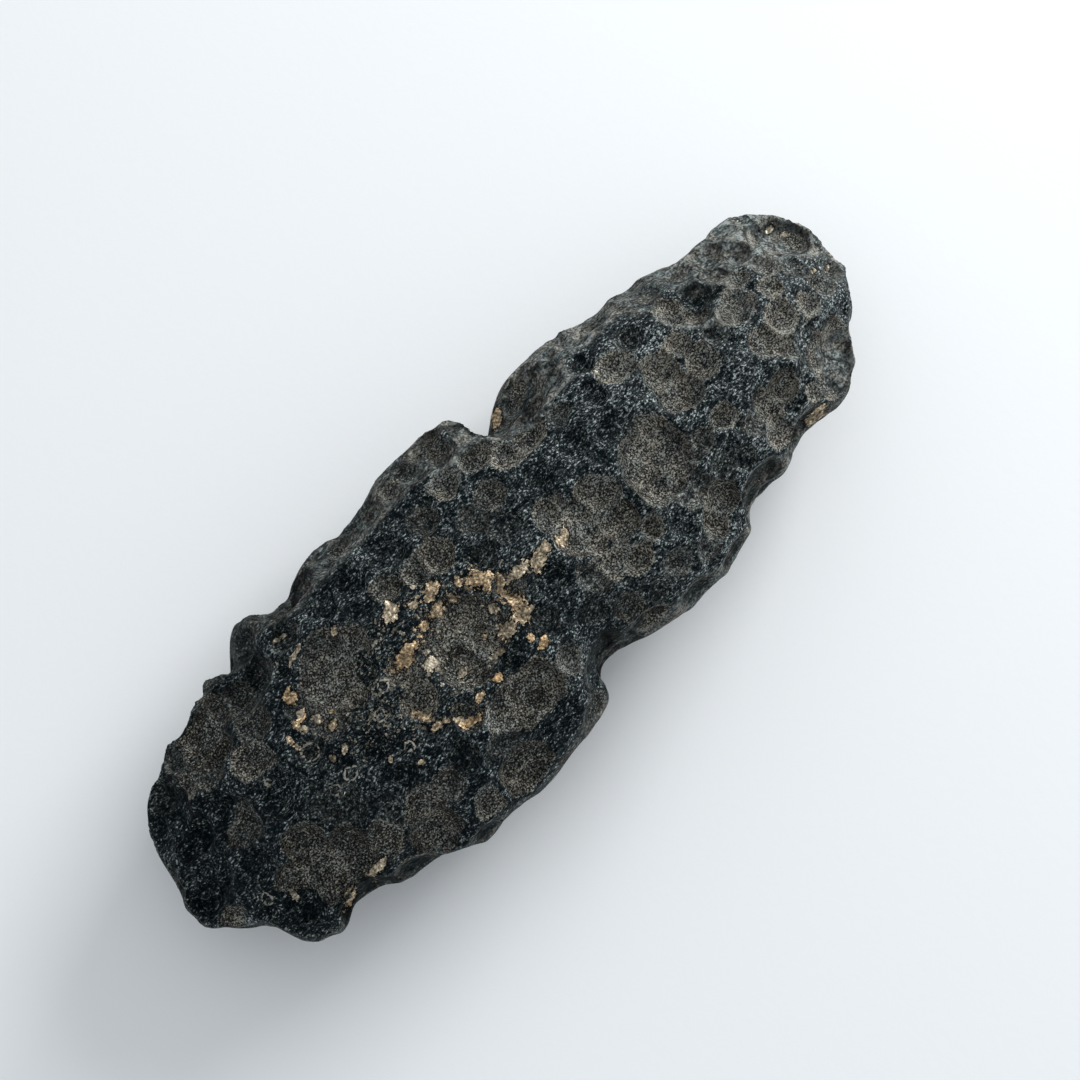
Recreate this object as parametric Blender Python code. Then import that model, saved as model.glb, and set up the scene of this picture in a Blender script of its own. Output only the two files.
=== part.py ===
"""A tektite of the splash-form slab kind: one long lump of black natural glass, etched
all over into shallow overlapping bowls. It is one solid and lies on a small worn flat.

Everything is worked out in millimetres, with X along the stone, Y across it and Z up,
and is turned into metres at the end. The origin is at the middle of the box's base.
"""

import random

import bmesh
import bpy
import numpy as np
from mathutils import Matrix, Vector, noise
from mathutils.kdtree import KDTree

NAME = "tektite"
METRES_PER_MM = 0.001

GLASS_COLOUR = (0.034, 0.039, 0.041, 1.0)
GLASS_ROUGHNESS = 0.5

# The greatest outline seen from above, anticlockwise from the pointed right-hand end.
OUTLINE = [
    # right-hand end, and the long gentle shoulder behind it
    (38.9, -0.4), (39.0, 1.6), (38.7, 3.8), (37.9, 5.5), (36.9, 6.7), (35.5, 7.7),
    (33.0, 8.1), (30.0, 8.5), (27.0, 9.0), (25.0, 9.6), (22.5, 10.1), (20.0, 10.8),
    (17.0, 11.3), (13.5, 11.6), (10.5, 11.5), (8.4, 10.8), (7.0, 10.0),
    # the deep notch, and the square shoulder beside it
    (5.8, 9.3), (4.7, 9.6), (4.3, 10.9), (4.2, 12.1), (3.6, 12.9), (2.5, 13.5),
    (0.0, 13.5), (-2.8, 13.7), (-4.5, 13.4), (-5.8, 12.9), (-9.0, 12.5),
    # two swellings and the small sharp notches between them
    (-11.6, 12.8), (-13.0, 12.8), (-14.4, 12.4), (-15.8, 12.0), (-17.2, 12.3),
    (-18.6, 13.3), (-20.0, 13.7), (-21.3, 13.3), (-22.2, 12.3), (-23.3, 11.3),
    (-24.0, 11.7), (-24.6, 12.3), (-25.8, 12.0), (-27.4, 11.5), (-28.9, 10.7),
    (-30.0, 10.4), (-31.1, 10.9), (-32.1, 10.6), (-32.6, 9.8),
    # left-hand end
    (-33.5, 9.4), (-35.4, 8.1), (-36.7, 6.5), (-37.4, 4.9), (-37.8, 3.4),
    (-38.6, 1.8), (-38.9, 0.4), (-38.9, -1.0), (-38.5, -2.4), (-37.2, -3.7),
    (-36.1, -4.7), (-35.2, -5.6), (-34.8, -6.7), (-34.3, -8.1), (-33.4, -9.3),
    (-32.1, -9.9),
    # near side: a hollow, the long belly and the notch after it
    (-30.6, -9.8), (-29.2, -9.5), (-27.8, -9.9), (-26.6, -10.8), (-24.6, -11.4),
    (-22.9, -11.7), (-21.6, -12.7), (-19.8, -13.5), (-17.0, -13.9), (-13.5, -14.1),
    (-9.5, -14.1), (-6.2, -13.8), (-4.4, -13.3), (-3.8, -12.1), (-3.1, -11.3),
    (-1.7, -11.0), (-0.5, -11.7), (1.6, -12.1), (4.2, -12.9), (7.0, -13.4),
    (9.8, -13.4), (12.2, -12.9), (13.9, -12.5), (14.9, -11.9), (15.6, -11.2),
    (16.8, -10.95), (18.2, -11.25), (20.2, -11.15), (22.4, -10.6), (24.2, -10.2),
    (26.2, -10.5), (28.5, -10.6), (30.4, -10.3), (31.8, -9.3), (33.1, -7.9),
    (34.4, -6.7), (35.9, -6.0), (37.2, -5.2), (38.1, -3.7), (38.6, -1.8),
]
OUTLINE_POINTS = 420  # round the smooth curve through them
CURVE_STEPS = 24  # points made between one outline point and the next, before spacing
SPINE_WINDOW = 46  # how many points the crest line is smoothed over
SPINE_SHARE = 0.8  # the crest's length as a share of the stone's
CREST_BLEND = 5.0  # half the width over which the back's tables give way to the front's

# Heights along the stone, as (x, z), above the surface that it lies on.
CREST = [(-38, 10.0), (-32, 12.2), (-24, 13.7), (-14, 15.3), (-5, 15.2), (4, 15.9),
         (13, 15.2), (22, 14.7), (31, 13.0), (38, 10.6)]
RIM_BACK = [(-38, 6.4), (-20, 6.6), (4, 6.8), (20, 6.0), (38, 6.4)]
RIM_FRONT = [(-38, 6.4), (-26, 8.0), (-8, 8.8), (12, 8.6), (24, 7.6), (32, 6.4), (38, 6.4)]
BASE = [(-38, 2.8), (-29, 1.3), (-17, 0.2), (-6, -0.5), (10, -0.5), (20, 0.3), (29, 1.1),
        (38, 3.0)]
# Where the crest runs, as (x, y).
CREST_LINE = [(-38, 0.0), (-20, -0.6), (0, -0.4), (14, 0.0), (24, -0.8), (38, -1.6)]

# How full each side stays before it falls to the rim: 2 is round, 4 nearly flat-topped.
FULLNESS_BACK = [(-38, 2.0), (-20, 2.7), (0, 3.0), (10, 2.6), (20, 1.7), (38, 1.5)]
FULLNESS_FRONT = [(-38, 2.2), (-20, 3.2), (0, 3.2), (14, 3.2), (26, 3.4), (38, 2.6)]
FULLNESS_UNDER = 2.3
RINGS = 48  # level loops from the underside's middle to the crest
INNERMOST = 0.03  # the first and last loop, as a share of the way to the rim

# Slow swells over the whole surface, in and out.
SWELL_HEIGHT = 0.35
SWELL_LENGTH = 7.0

# Broad hollows on the side that faces up, as (x, y, mouth radius, depth).
HOLLOWS = [
    # left-hand end
    (-36.3, 0.0, 2.8, 0.6), (-34.0, 3.2, 2.4, 0.8), (-31.3, 1.6, 3.2, 0.6),
    (-29.3, -6.2, 4.2, 1.3), (-32.4, -6.9, 2.2, 0.9), (-34.2, 6.6, 2.6, 0.6),
    (-28.4, 7.6, 3.2, 0.7), (-23.8, 8.4, 2.8, 0.7), (-27.8, 0.2, 2.6, 0.5),
    # middle
    (-18.4, 2.6, 3.4, 0.6), (-9.8, -2.8, 4.3, 0.7), (-9.3, -9.4, 3.0, 0.7),
    (-13.5, -12.4, 3.2, 0.7), (-21.5, -10.8, 2.6, 0.7), (-1.8, -11.4, 2.4, 0.35),
    (-16.8, 11.2, 2.4, 0.7), (-10.2, 11.4, 3.2, 0.6), (0.4, 10.4, 2.8, 0.8),
    (4.2, -4.2, 4.0, 0.7), (11.2, -4.0, 3.6, 0.7), (12.2, -10.6, 3.0, 0.8),
    # beside the notch
    (8.3, 8.6, 3.9, 1.3), (15.9, -11.2, 2.0, 0.8),
    # right-hand end
    (17.2, -0.4, 3.0, 0.6), (24.2, 3.2, 3.0, 0.8), (29.4, 4.2, 3.2, 0.5),
    (35.8, 2.8, 3.4, 1.0), (29.9, -8.3, 4.2, 1.3), (22.6, -7.6, 3.0, 0.8),
    (18.2, 9.6, 3.0, 0.5),
]

# The etched bowls on that side, as (x, y, mouth radius, depth).
BOWLS = [
    # left-hand end, from the tip inward
    (-36.9, -1.0, 1.5, 0.45), (-36.2, 0.6, 2.0, 0.5), (-34.9, 0.4, 1.6, 0.4),
    (-36.0, 5.6, 1.9, 0.45), (-33.6, 7.4, 1.5, 0.45), (-34.2, 5.2, 1.6, 0.4),
    (-32.1, 6.3, 1.4, 0.45), (-34.2, 3.2, 1.7, 0.6), (-31.0, 0.8, 1.9, 0.5),
    (-31.5, 2.9, 1.6, 0.4), (-34.2, -5.4, 1.6, 0.45), (-32.4, -7.1, 1.5, 0.6),
    (-33.0, -9.0, 1.5, 0.4), (-32.6, -2.3, 2.0, 0.45), (-31.1, -5.2, 1.9, 0.55),
    (-28.9, -3.6, 1.6, 0.55), (-29.2, -6.4, 2.3, 0.55), (-27.0, -7.0, 2.0, 0.55),
    (-24.8, -8.2, 1.7, 0.5), (-31.0, 8.9, 1.5, 0.45), (-28.5, 8.0, 2.2, 0.5),
    (-28.3, 5.9, 1.5, 0.45), (-26.0, 8.8, 1.6, 0.45), (-25.4, 11.2, 1.6, 0.45),
    (-27.2, 3.3, 1.9, 0.5), (-28.0, 0.3, 1.9, 0.5), (-25.2, 5.2, 1.7, 0.45),
    # left of the middle
    (-24.3, 7.4, 1.9, 0.5), (-22.1, 7.8, 1.5, 0.45), (-23.8, 0.5, 1.2, 0.4),
    (-25.1, -4.0, 2.2, 0.5), (-22.9, -6.9, 1.5, 0.45), (-20.4, -6.4, 1.3, 0.4),
    (-20.5, -3.2, 1.4, 0.4), (-18.4, 2.7, 2.6, 0.55), (-22.1, 3.4, 1.2, 0.35),
    (-21.2, 10.6, 1.6, 0.5), (-18.6, 8.3, 1.6, 0.4), (-17.2, 5.3, 1.5, 0.4),
    (-21.6, -10.4, 1.8, 0.5), (-18.6, -9.3, 1.6, 0.45), (-16.5, -8.8, 1.4, 0.4),
    (-13.7, 4.9, 0.9, 0.4), (-14.8, 7.6, 1.5, 0.4), (-12.6, 7.0, 2.0, 0.45),
    (-15.6, -3.6, 1.6, 0.4), (-13.9, -6.9, 1.4, 0.4), (-16.4, 1.4, 1.3, 0.35),
    (-17.0, 10.2, 1.5, 0.5), (-14.4, 10.6, 1.4, 0.4), (-12.2, 10.2, 1.3, 0.4),
    (-9.8, 10.3, 1.7, 0.55), (-6.9, 10.6, 1.5, 0.5), (-13.4, -12.3, 2.1, 0.5),
    (-17.4, -12.4, 1.6, 0.4), (-9.8, -2.8, 3.0, 0.5), (-11.4, -4.4, 1.6, 0.35),
    # middle
    (-11.0, 4.6, 1.3, 0.35), (-8.4, 3.8, 1.3, 0.4), (-6.2, 3.6, 1.7, 0.45),
    (-8.8, 6.9, 1.7, 0.4), (-4.9, 6.4, 1.5, 0.4), (-1.3, 7.1, 1.5, 0.5),
    (-4.2, 10.4, 1.7, 0.5), (-1.9, 10.0, 1.6, 0.5), (0.7, 9.4, 1.5, 0.5),
    (0.4, 11.4, 1.7, 0.4), (1.8, 6.8, 1.5, 0.45),
    (3.6, 5.0, 1.6, 0.5), (6.4, 4.8, 1.5, 0.4), (8.9, 4.4, 1.3, 0.35),
    (0.2, 3.8, 1.4, 0.4), (-2.2, 3.2, 1.4, 0.35), (-1.0, 1.0, 1.6, 0.35),
    (-3.9, 0.6, 1.4, 0.35), (3.4, 1.4, 1.6, 0.35), (-9.2, -9.3, 2.3, 0.55),
    (-11.9, -8.8, 1.7, 0.45), (-5.4, -9.8, 1.5, 0.4), (-4.9, -6.2, 1.6, 0.4),
    (-1.9, -4.6, 1.6, 0.35), (-0.8, -8.6, 1.6, 0.4), (1.1, -10.3, 1.4, 0.45),
    (2.8, -3.4, 2.2, 0.45), (5.9, -2.7, 1.8, 0.45), (2.4, -6.9, 1.8, 0.45),
    (4.3, -8.3, 1.4, 0.4), (0.8, -6.6, 1.4, 0.35), (5.4, -5.2, 1.6, 0.4),
    (6.8, -7.4, 1.2, 0.45), (3.6, -10.9, 1.5, 0.4), (6.2, -10.6, 1.5, 0.4),
    (7.6, 1.6, 1.6, 0.35), (11.0, 0.4, 1.5, 0.35), (11.6, 3.6, 1.6, 0.35),
    # beside the notch
    (8.6, 6.9, 1.3, 0.4), (8.3, 8.8, 1.3, 0.4), (10.0, 9.6, 1.4, 0.4),
    (12.2, 8.8, 1.3, 0.5), (11.2, 7.0, 1.3, 0.35), (6.2, 8.4, 1.5, 0.35),
    # right of the middle
    (11.2, -3.9, 2.7, 0.55), (13.3, -1.8, 1.3, 0.4), (9.4, -5.8, 1.4, 0.35),
    (9.0, -8.8, 1.4, 0.45), (11.4, -10.2, 1.6, 0.5), (12.9, -9.4, 1.6, 0.5),
    (9.2, -11.8, 1.3, 0.4), (15.2, 3.8, 1.9, 0.5), (13.6, 6.4, 1.4, 0.35),
    (17.3, 0.9, 1.6, 0.45), (17.2, -1.7, 1.7, 0.5), (20.3, -1.2, 1.6, 0.45),
    (20.3, 1.5, 1.3, 0.4), (15.0, -5.6, 1.3, 0.35), (18.0, -5.5, 1.3, 0.4),
    (14.9, -8.1, 1.4, 0.4), (17.0, -8.8, 1.2, 0.4), (19.2, -7.6, 1.2, 0.4),
    (21.8, -7.3, 1.5, 0.5), (23.8, -7.0, 1.4, 0.5), (20.8, -9.5, 1.5, 0.45),
    (18.0, 4.9, 1.4, 0.35), (15.6, 8.9, 1.3, 0.4), (18.0, 8.6, 1.4, 0.4),
    # right-hand end
    (22.7, 4.1, 1.5, 0.5), (23.5, 1.9, 1.4, 0.5), (25.4, 3.4, 1.3, 0.4),
    (22.8, 7.0, 1.4, 0.4), (25.3, -3.8, 1.6, 0.5), (28.3, -3.1, 1.8, 0.5),
    (31.3, -3.9, 1.4, 0.4), (33.8, -3.2, 1.6, 0.4), (36.3, -2.6, 1.4, 0.4),
    (27.9, 3.8, 1.3, 0.4), (28.6, 2.0, 1.3, 0.4), (26.4, 6.4, 1.4, 0.4),
    (29.4, 5.6, 1.6, 0.4), (31.2, 3.7, 1.2, 0.35), (32.7, 6.5, 1.5, 0.35),
    (34.6, 3.4, 2.0, 0.5), (36.3, 2.2, 2.0, 0.5), (29.5, -8.0, 2.6, 0.5),
    (31.6, -6.9, 1.8, 0.4), (27.9, -9.3, 1.5, 0.4), (25.8, -9.3, 1.2, 0.35),
    (26.4, -5.6, 1.2, 0.35), (31.2, 0.8, 1.3, 0.3),
]

# More bowls, scattered where those leave room: over the flanks and the underside.
SCATTER_SEED = 11
SCATTER_TRIES = 2600
SCATTER_RADII = (1.3, 2.6)
SCATTER_DEPTH = 0.26  # as a share of the mouth radius
SCATTER_CROWDING = 0.78  # how near two bowls may come, as a share of their radii together
WORN_UNDERSIDE = 0.25  # no bowls below this height, where the stone rests

# A bowl is sunk from the surface as it stands, so they are cut in these size groups.
SIZE_GROUPS = [(2.4, 9.0), (1.6, 2.4), (0.0, 1.6)]
ETCHED = 1.15  # how much deeper than listed the etched bowls are
BOWL_SEARCH = 1.35  # how far round a bowl its floor is tried, as a share of its radius
BOWL_SHAPE = 2.6  # 2 gives a bowl a round floor, and more a flatter floor and steeper walls
BOWL_FACING = 0.1  # a bowl is pressed only into what faces its way, by at least this cosine
RIM_RAGGED = 0.34  # how far a bowl's rim wanders
RIM_RAGGED_LENGTH = 1.5
TOP_FACING = 0.05  # what faces up by at least this much can be picked from above

VOXEL = 0.36  # the body's even mesh, before it is carved
TRIANGLES = 9500  # what the carved stone is thinned to


def along(table, x):
    """The table's value at x, on straight lines between its points."""
    points = np.array(sorted(table), float)
    return np.interp(x, points[:, 0], points[:, 1])


def smooth_loop(points, count):
    """An evenly spaced closed curve through the points, by Catmull-Rom."""
    corners = np.array(points, float)
    t = np.linspace(0, 1, CURVE_STEPS, endpoint=False)[:, None]
    pieces = []
    for i in range(len(corners)):
        a, b, c, d = (corners[(i + k) % len(corners)] for k in (-1, 0, 1, 2))
        pieces.append(
            0.5 * (2 * b + (c - a) * t + (2 * a - 5 * b + 4 * c - d) * t**2
                   + (3 * b - a - 3 * c + d) * t**3)
        )
    curve = np.concatenate(pieces + [pieces[0][:1]])
    steps = np.linalg.norm(np.diff(curve, axis=0), axis=1)
    travelled = np.concatenate([[0], np.cumsum(steps)])
    wanted = np.linspace(0, travelled[-1], count, endpoint=False)
    return np.stack([np.interp(wanted, travelled, curve[:, k]) for k in (0, 1)], axis=1)


def round_average(values, window):
    """Each value of a closed row averaged with its neighbours, three times over."""
    kernel = np.ones(window) / window
    for _ in range(3):
        padded = np.concatenate([values[-window:], values, values[:window]])
        values = np.convolve(padded, kernel, "same")[window:-window]
    return values


def level_loops():
    """The body as level loops of points, from the underside's middle up to the crest."""
    rim = smooth_loop(OUTLINE, OUTLINE_POINTS)
    crest_x = round_average(rim[:, 0], SPINE_WINDOW) * SPINE_SHARE
    crest = np.stack([crest_x, along(CREST_LINE, crest_x)], axis=1)
    back = np.clip(0.5 + 0.5 * (rim[:, 1] - crest[:, 1]) / CREST_BLEND, 0, 1)
    fullness = (back * along(FULLNESS_BACK, rim[:, 0])
                + (1 - back) * along(FULLNESS_FRONT, rim[:, 0]))
    loops = []
    for angle in np.linspace(-np.pi / 2, np.pi / 2, RINGS):
        power = fullness if angle > 0 else np.full(len(rim), FULLNESS_UNDER)
        reach = np.maximum(np.cos(angle), 0) ** (2 / power)
        reach = np.maximum(reach, INNERMOST)[:, None]
        plan = crest + (rim - crest) * reach
        middle = back * along(RIM_BACK, plan[:, 0]) + (1 - back) * along(RIM_FRONT, plan[:, 0])
        far = along(CREST if angle > 0 else BASE, plan[:, 0])
        loops.append(np.column_stack([plan, middle + (far - middle) * abs(np.sin(angle))]))
    return loops


def body_mesh(loops):
    """The closed rough body through these loops."""
    mesh = bmesh.new()
    rows = [[mesh.verts.new(point) for point in loop] for loop in loops]
    for lower, upper in zip(rows, rows[1:]):
        for i in range(len(lower)):
            j = (i + 1) % len(lower)
            mesh.faces.new((lower[i], lower[j], upper[j], upper[i]))
    mesh.faces.new(reversed(rows[0]))
    mesh.faces.new(rows[-1])
    bmesh.ops.triangulate(mesh, faces=[f for f in mesh.faces if len(f.verts) > 4])
    data = bpy.data.meshes.new(NAME)
    mesh.to_mesh(data)
    mesh.free()
    return data


def modified(obj, kind, **settings):
    """Give the object its mesh with one modifier of this kind applied."""
    modifier = obj.modifiers.new(kind.title(), kind)
    for name, value in settings.items():
        setattr(modifier, name, value)
    graph = bpy.context.evaluated_depsgraph_get()
    made = bpy.data.meshes.new_from_object(obj.evaluated_get(graph))
    obj.modifiers.remove(modifier)
    obj.data = made


def points_and_normals(mesh):
    """The mesh's points and their outward directions, as two tables."""
    points = np.empty(len(mesh.vertices) * 3)
    mesh.vertices.foreach_get("co", points)
    normals = np.empty(len(points))
    mesh.vertex_normals.foreach_get("vector", normals)
    return points.reshape(-1, 3), normals.reshape(-1, 3)


def set_points(mesh, points):
    mesh.vertices.foreach_set("co", points.ravel())
    mesh.update()


def waves(points, length):
    """Smooth noise between about -1 and 1 at each point, with lumps of this length."""
    return np.array([noise.noise(Vector(point / length)) for point in points])


def swell(mesh):
    """Move the whole surface slowly in and out."""
    points, normals = points_and_normals(mesh)
    set_points(mesh, points + normals * (SWELL_HEIGHT * waves(points, SWELL_LENGTH))[:, None])


def seen_from_above(points, normals, x, y):
    """The point of the upper surface nearest to this place in plan."""
    away = (points[:, 0] - x) ** 2 + (points[:, 1] - y) ** 2
    away[normals[:, 2] < TOP_FACING] = np.inf
    return points[np.argmin(away)]


def placed(spots, mesh, deeper=1.0):
    """The hand-placed (x, y, radius, depth) spots as (point, radius, depth)."""
    points, normals = points_and_normals(mesh)
    return [(seen_from_above(points, normals, x, y), radius, depth * deeper)
            for x, y, radius, depth in spots]


def scattered(taken, loops):
    """Seeded bowls over the body, as (point, radius, depth), clear of those taken."""
    chance = random.Random(SCATTER_SEED)
    surface = np.concatenate(loops)
    centres = [point for point, _, _ in taken]
    radii = [radius for _, radius, _ in taken]
    found = []
    for _ in range(SCATTER_TRIES):
        point = surface[chance.randrange(len(surface))]
        radius = chance.uniform(*SCATTER_RADII)
        gaps = np.linalg.norm(np.array(centres) - point, axis=1)
        allowed = (np.array(radii) + radius) * SCATTER_CROWDING
        if point[2] < WORN_UNDERSIDE or (gaps < allowed).any():
            continue
        centres.append(point)
        radii.append(radius)
        found.append((point, radius, radius * SCATTER_DEPTH))
    return found


def search_tree(points):
    tree = KDTree(len(points))
    for i, point in enumerate(points):
        tree.insert(point, i)
    tree.balance()
    return tree


def press_bowl(points, normals, ragged, tree, bowl):
    """Lower the points over one bowl to its floor."""
    target, radius, depth = bowl
    place = tree.find(target)[0]
    found = tree.find_range(place, radius * BOWL_SEARCH)
    index = np.array([item[1] for item in found])
    near = index[np.array([item[2] for item in found]) < radius]
    outward = normals[near].mean(axis=0)
    outward /= np.linalg.norm(outward)
    away = points[index] - points[near].mean(axis=0)
    height = away @ outward
    across = np.linalg.norm(away - np.outer(height, outward), axis=1) + ragged[index]
    floor = depth * (np.clip(across / radius, 0, None) ** BOWL_SHAPE - 1)
    sunk = (height > floor) & (normals[index] @ outward > BOWL_FACING)
    points[index[sunk]] += np.outer((floor - height)[sunk], outward)


def press_bowls(mesh, bowls):
    """Press every bowl in, the largest first."""
    for low, high in SIZE_GROUPS:
        points, normals = points_and_normals(mesh)
        ragged = RIM_RAGGED * waves(points, RIM_RAGGED_LENGTH)
        tree = search_tree(points)
        for bowl in bowls:
            if low <= bowl[1] < high:
                press_bowl(points, normals, ragged, tree, bowl)
        set_points(mesh, points)


def carve(mesh, loops):
    """Cut the broad hollows, then the bowls on top and those on the flanks."""
    press_bowls(mesh, placed(HOLLOWS, mesh))
    bowls = placed(BOWLS, mesh, ETCHED)
    press_bowls(mesh, bowls + scattered(bowls, loops))


def wear_base(mesh):
    """Cut the underside off level at z = 0 and close it with a flat."""
    shape = bmesh.new()
    shape.from_mesh(mesh)
    cut = bmesh.ops.bisect_plane(
        shape, geom=shape.verts[:] + shape.edges[:] + shape.faces[:],
        plane_co=(0, 0, 0), plane_no=(0, 0, 1), clear_inner=True,
    )
    rim = [item for item in cut["geom_cut"] if isinstance(item, bmesh.types.BMEdge)]
    bmesh.ops.triangle_fill(shape, edges=rim, use_beauty=True, normal=(0, 0, -1))
    bmesh.ops.recalc_face_normals(shape, faces=shape.faces)
    shape.to_mesh(mesh)
    shape.free()


def centre_on_base(mesh):
    """Put the origin at the middle of the box's base."""
    points, _ = points_and_normals(mesh)
    middle = (points.min(axis=0) + points.max(axis=0)) / 2
    mesh.transform(Matrix.Translation((-middle[0], -middle[1], -points[:, 2].min())))


def glass():
    material = bpy.data.materials.new("etched black glass")
    material.use_nodes = True
    shader = material.node_tree.nodes["Principled BSDF"]
    shader.inputs["Base Color"].default_value = GLASS_COLOUR
    shader.inputs["Roughness"].default_value = GLASS_ROUGHNESS
    shader.inputs["Metallic"].default_value = 0.0
    return material


def main():
    for obj in list(bpy.data.objects):
        bpy.data.objects.remove(obj)
    loops = level_loops()
    stone = bpy.data.objects.new(NAME, body_mesh(loops))
    bpy.context.scene.collection.objects.link(stone)
    modified(stone, "REMESH", mode="VOXEL", voxel_size=VOXEL)
    swell(stone.data)
    carve(stone.data, loops)
    modified(stone, "DECIMATE", ratio=TRIANGLES / (2 * len(stone.data.polygons)))
    wear_base(stone.data)
    centre_on_base(stone.data)
    stone.data.transform(Matrix.Scale(METRES_PER_MM, 4))
    stone.data.materials.append(glass())


main()
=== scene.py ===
"""The looks of the tektite: the stone again at full fineness, its etched and worn surface,
the dried clay in it, and a plain pale floor with soft light.

The stone is shaped in millimetres by the same values as its solid, with X along it, Y across
it and Z up, and is then moved to the solid's origin and turned into metres.
"""

import math
import random

import bmesh
import bpy
import numpy as np
from mathutils import Matrix, Vector, noise
from mathutils.kdtree import KDTree


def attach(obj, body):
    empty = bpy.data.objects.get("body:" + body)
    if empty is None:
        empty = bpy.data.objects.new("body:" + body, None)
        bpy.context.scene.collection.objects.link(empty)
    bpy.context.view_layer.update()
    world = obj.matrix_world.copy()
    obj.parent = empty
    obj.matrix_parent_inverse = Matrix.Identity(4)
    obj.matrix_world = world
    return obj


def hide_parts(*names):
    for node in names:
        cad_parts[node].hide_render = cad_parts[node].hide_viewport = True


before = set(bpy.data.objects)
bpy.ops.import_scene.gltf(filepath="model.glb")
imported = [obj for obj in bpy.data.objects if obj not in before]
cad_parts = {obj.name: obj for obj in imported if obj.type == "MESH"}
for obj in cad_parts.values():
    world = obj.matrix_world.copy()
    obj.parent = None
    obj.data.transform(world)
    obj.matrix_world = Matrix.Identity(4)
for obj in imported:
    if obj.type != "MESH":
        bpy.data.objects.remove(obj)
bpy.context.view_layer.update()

NODE = "tektite"
METRES_PER_MM = 0.001

# The greatest outline seen from above, anticlockwise from the pointed right-hand end.
OUTLINE = [
    # right-hand end, and the long gentle shoulder behind it
    (38.9, -0.4), (39.0, 1.6), (38.7, 3.8), (37.9, 5.5), (36.9, 6.7), (35.5, 7.7),
    (33.0, 8.1), (30.0, 8.5), (27.0, 9.0), (25.0, 9.6), (22.5, 10.1), (20.0, 10.8),
    (17.0, 11.3), (13.5, 11.6), (10.5, 11.5), (8.4, 10.8), (7.0, 10.0),
    # the deep notch, and the square shoulder beside it
    (5.8, 9.3), (4.7, 9.6), (4.3, 10.9), (4.2, 12.1), (3.6, 12.9), (2.5, 13.5),
    (0.0, 13.5), (-2.8, 13.7), (-4.5, 13.4), (-5.8, 12.9), (-9.0, 12.5),
    # two swellings and the small sharp notches between them
    (-11.6, 12.8), (-13.0, 12.8), (-14.4, 12.4), (-15.8, 12.0), (-17.2, 12.3),
    (-18.6, 13.3), (-20.0, 13.7), (-21.3, 13.3), (-22.2, 12.3), (-23.3, 11.3),
    (-24.0, 11.7), (-24.6, 12.3), (-25.8, 12.0), (-27.4, 11.5), (-28.9, 10.7),
    (-30.0, 10.4), (-31.1, 10.9), (-32.1, 10.6), (-32.6, 9.8),
    # left-hand end
    (-33.5, 9.4), (-35.4, 8.1), (-36.7, 6.5), (-37.4, 4.9), (-37.8, 3.4),
    (-38.6, 1.8), (-38.9, 0.4), (-38.9, -1.0), (-38.5, -2.4), (-37.2, -3.7),
    (-36.1, -4.7), (-35.2, -5.6), (-34.8, -6.7), (-34.3, -8.1), (-33.4, -9.3),
    (-32.1, -9.9),
    # near side: a hollow, the long belly and the notch after it
    (-30.6, -9.8), (-29.2, -9.5), (-27.8, -9.9), (-26.6, -10.8), (-24.6, -11.4),
    (-22.9, -11.7), (-21.6, -12.7), (-19.8, -13.5), (-17.0, -13.9), (-13.5, -14.1),
    (-9.5, -14.1), (-6.2, -13.8), (-4.4, -13.3), (-3.8, -12.1), (-3.1, -11.3),
    (-1.7, -11.0), (-0.5, -11.7), (1.6, -12.1), (4.2, -12.9), (7.0, -13.4),
    (9.8, -13.4), (12.2, -12.9), (13.9, -12.5), (14.9, -11.9), (15.6, -11.2),
    (16.8, -10.95), (18.2, -11.25), (20.2, -11.15), (22.4, -10.6), (24.2, -10.2),
    (26.2, -10.5), (28.5, -10.6), (30.4, -10.3), (31.8, -9.3), (33.1, -7.9),
    (34.4, -6.7), (35.9, -6.0), (37.2, -5.2), (38.1, -3.7), (38.6, -1.8),
]
OUTLINE_POINTS = 420  # round the smooth curve through them
CURVE_STEPS = 24  # points made between one outline point and the next, before spacing
SPINE_WINDOW = 46  # how many points the crest line is smoothed over
SPINE_ROUNDS = 3  # and how many times over
SPINE_SHARE = 0.8  # the crest's length as a share of the stone's
CREST_BLEND = 5.0  # half the width over which the back's tables give way to the front's

# Heights along the stone, as (x, z), above the surface that it lies on.
CREST = [(-38, 10.0), (-32, 12.2), (-24, 13.7), (-14, 15.3), (-5, 15.2), (4, 15.9),
         (13, 15.2), (22, 14.7), (31, 13.0), (38, 10.6)]
RIM_BACK = [(-38, 6.4), (-20, 6.6), (4, 6.8), (20, 6.0), (38, 6.4)]
RIM_FRONT = [(-38, 6.4), (-26, 8.0), (-8, 8.8), (12, 8.6), (24, 7.6), (32, 6.4), (38, 6.4)]
BASE = [(-38, 2.8), (-29, 1.3), (-17, 0.2), (-6, -0.5), (10, -0.5), (20, 0.3), (29, 1.1),
        (38, 3.0)]
# Where the crest runs, as (x, y).
CREST_LINE = [(-38, 0.0), (-20, -0.6), (0, -0.4), (14, 0.0), (24, -0.8), (38, -1.6)]

# How full each side stays before it falls to the rim: 2 is round, 4 nearly flat-topped.
FULLNESS_BACK = [(-38, 2.0), (-20, 2.7), (0, 3.0), (10, 2.6), (20, 1.7), (38, 1.5)]
FULLNESS_FRONT = [(-38, 2.2), (-20, 3.2), (0, 3.2), (14, 3.2), (26, 3.4), (38, 2.6)]
FULLNESS_UNDER = 2.3
RINGS = 48  # level loops from the underside's middle to the crest
INNERMOST = 0.03  # the first and last loop, as a share of the way to the rim

# Slow swells over the whole surface, in and out.
SWELL_HEIGHT = 0.35
SWELL_LENGTH = 7.0

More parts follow.
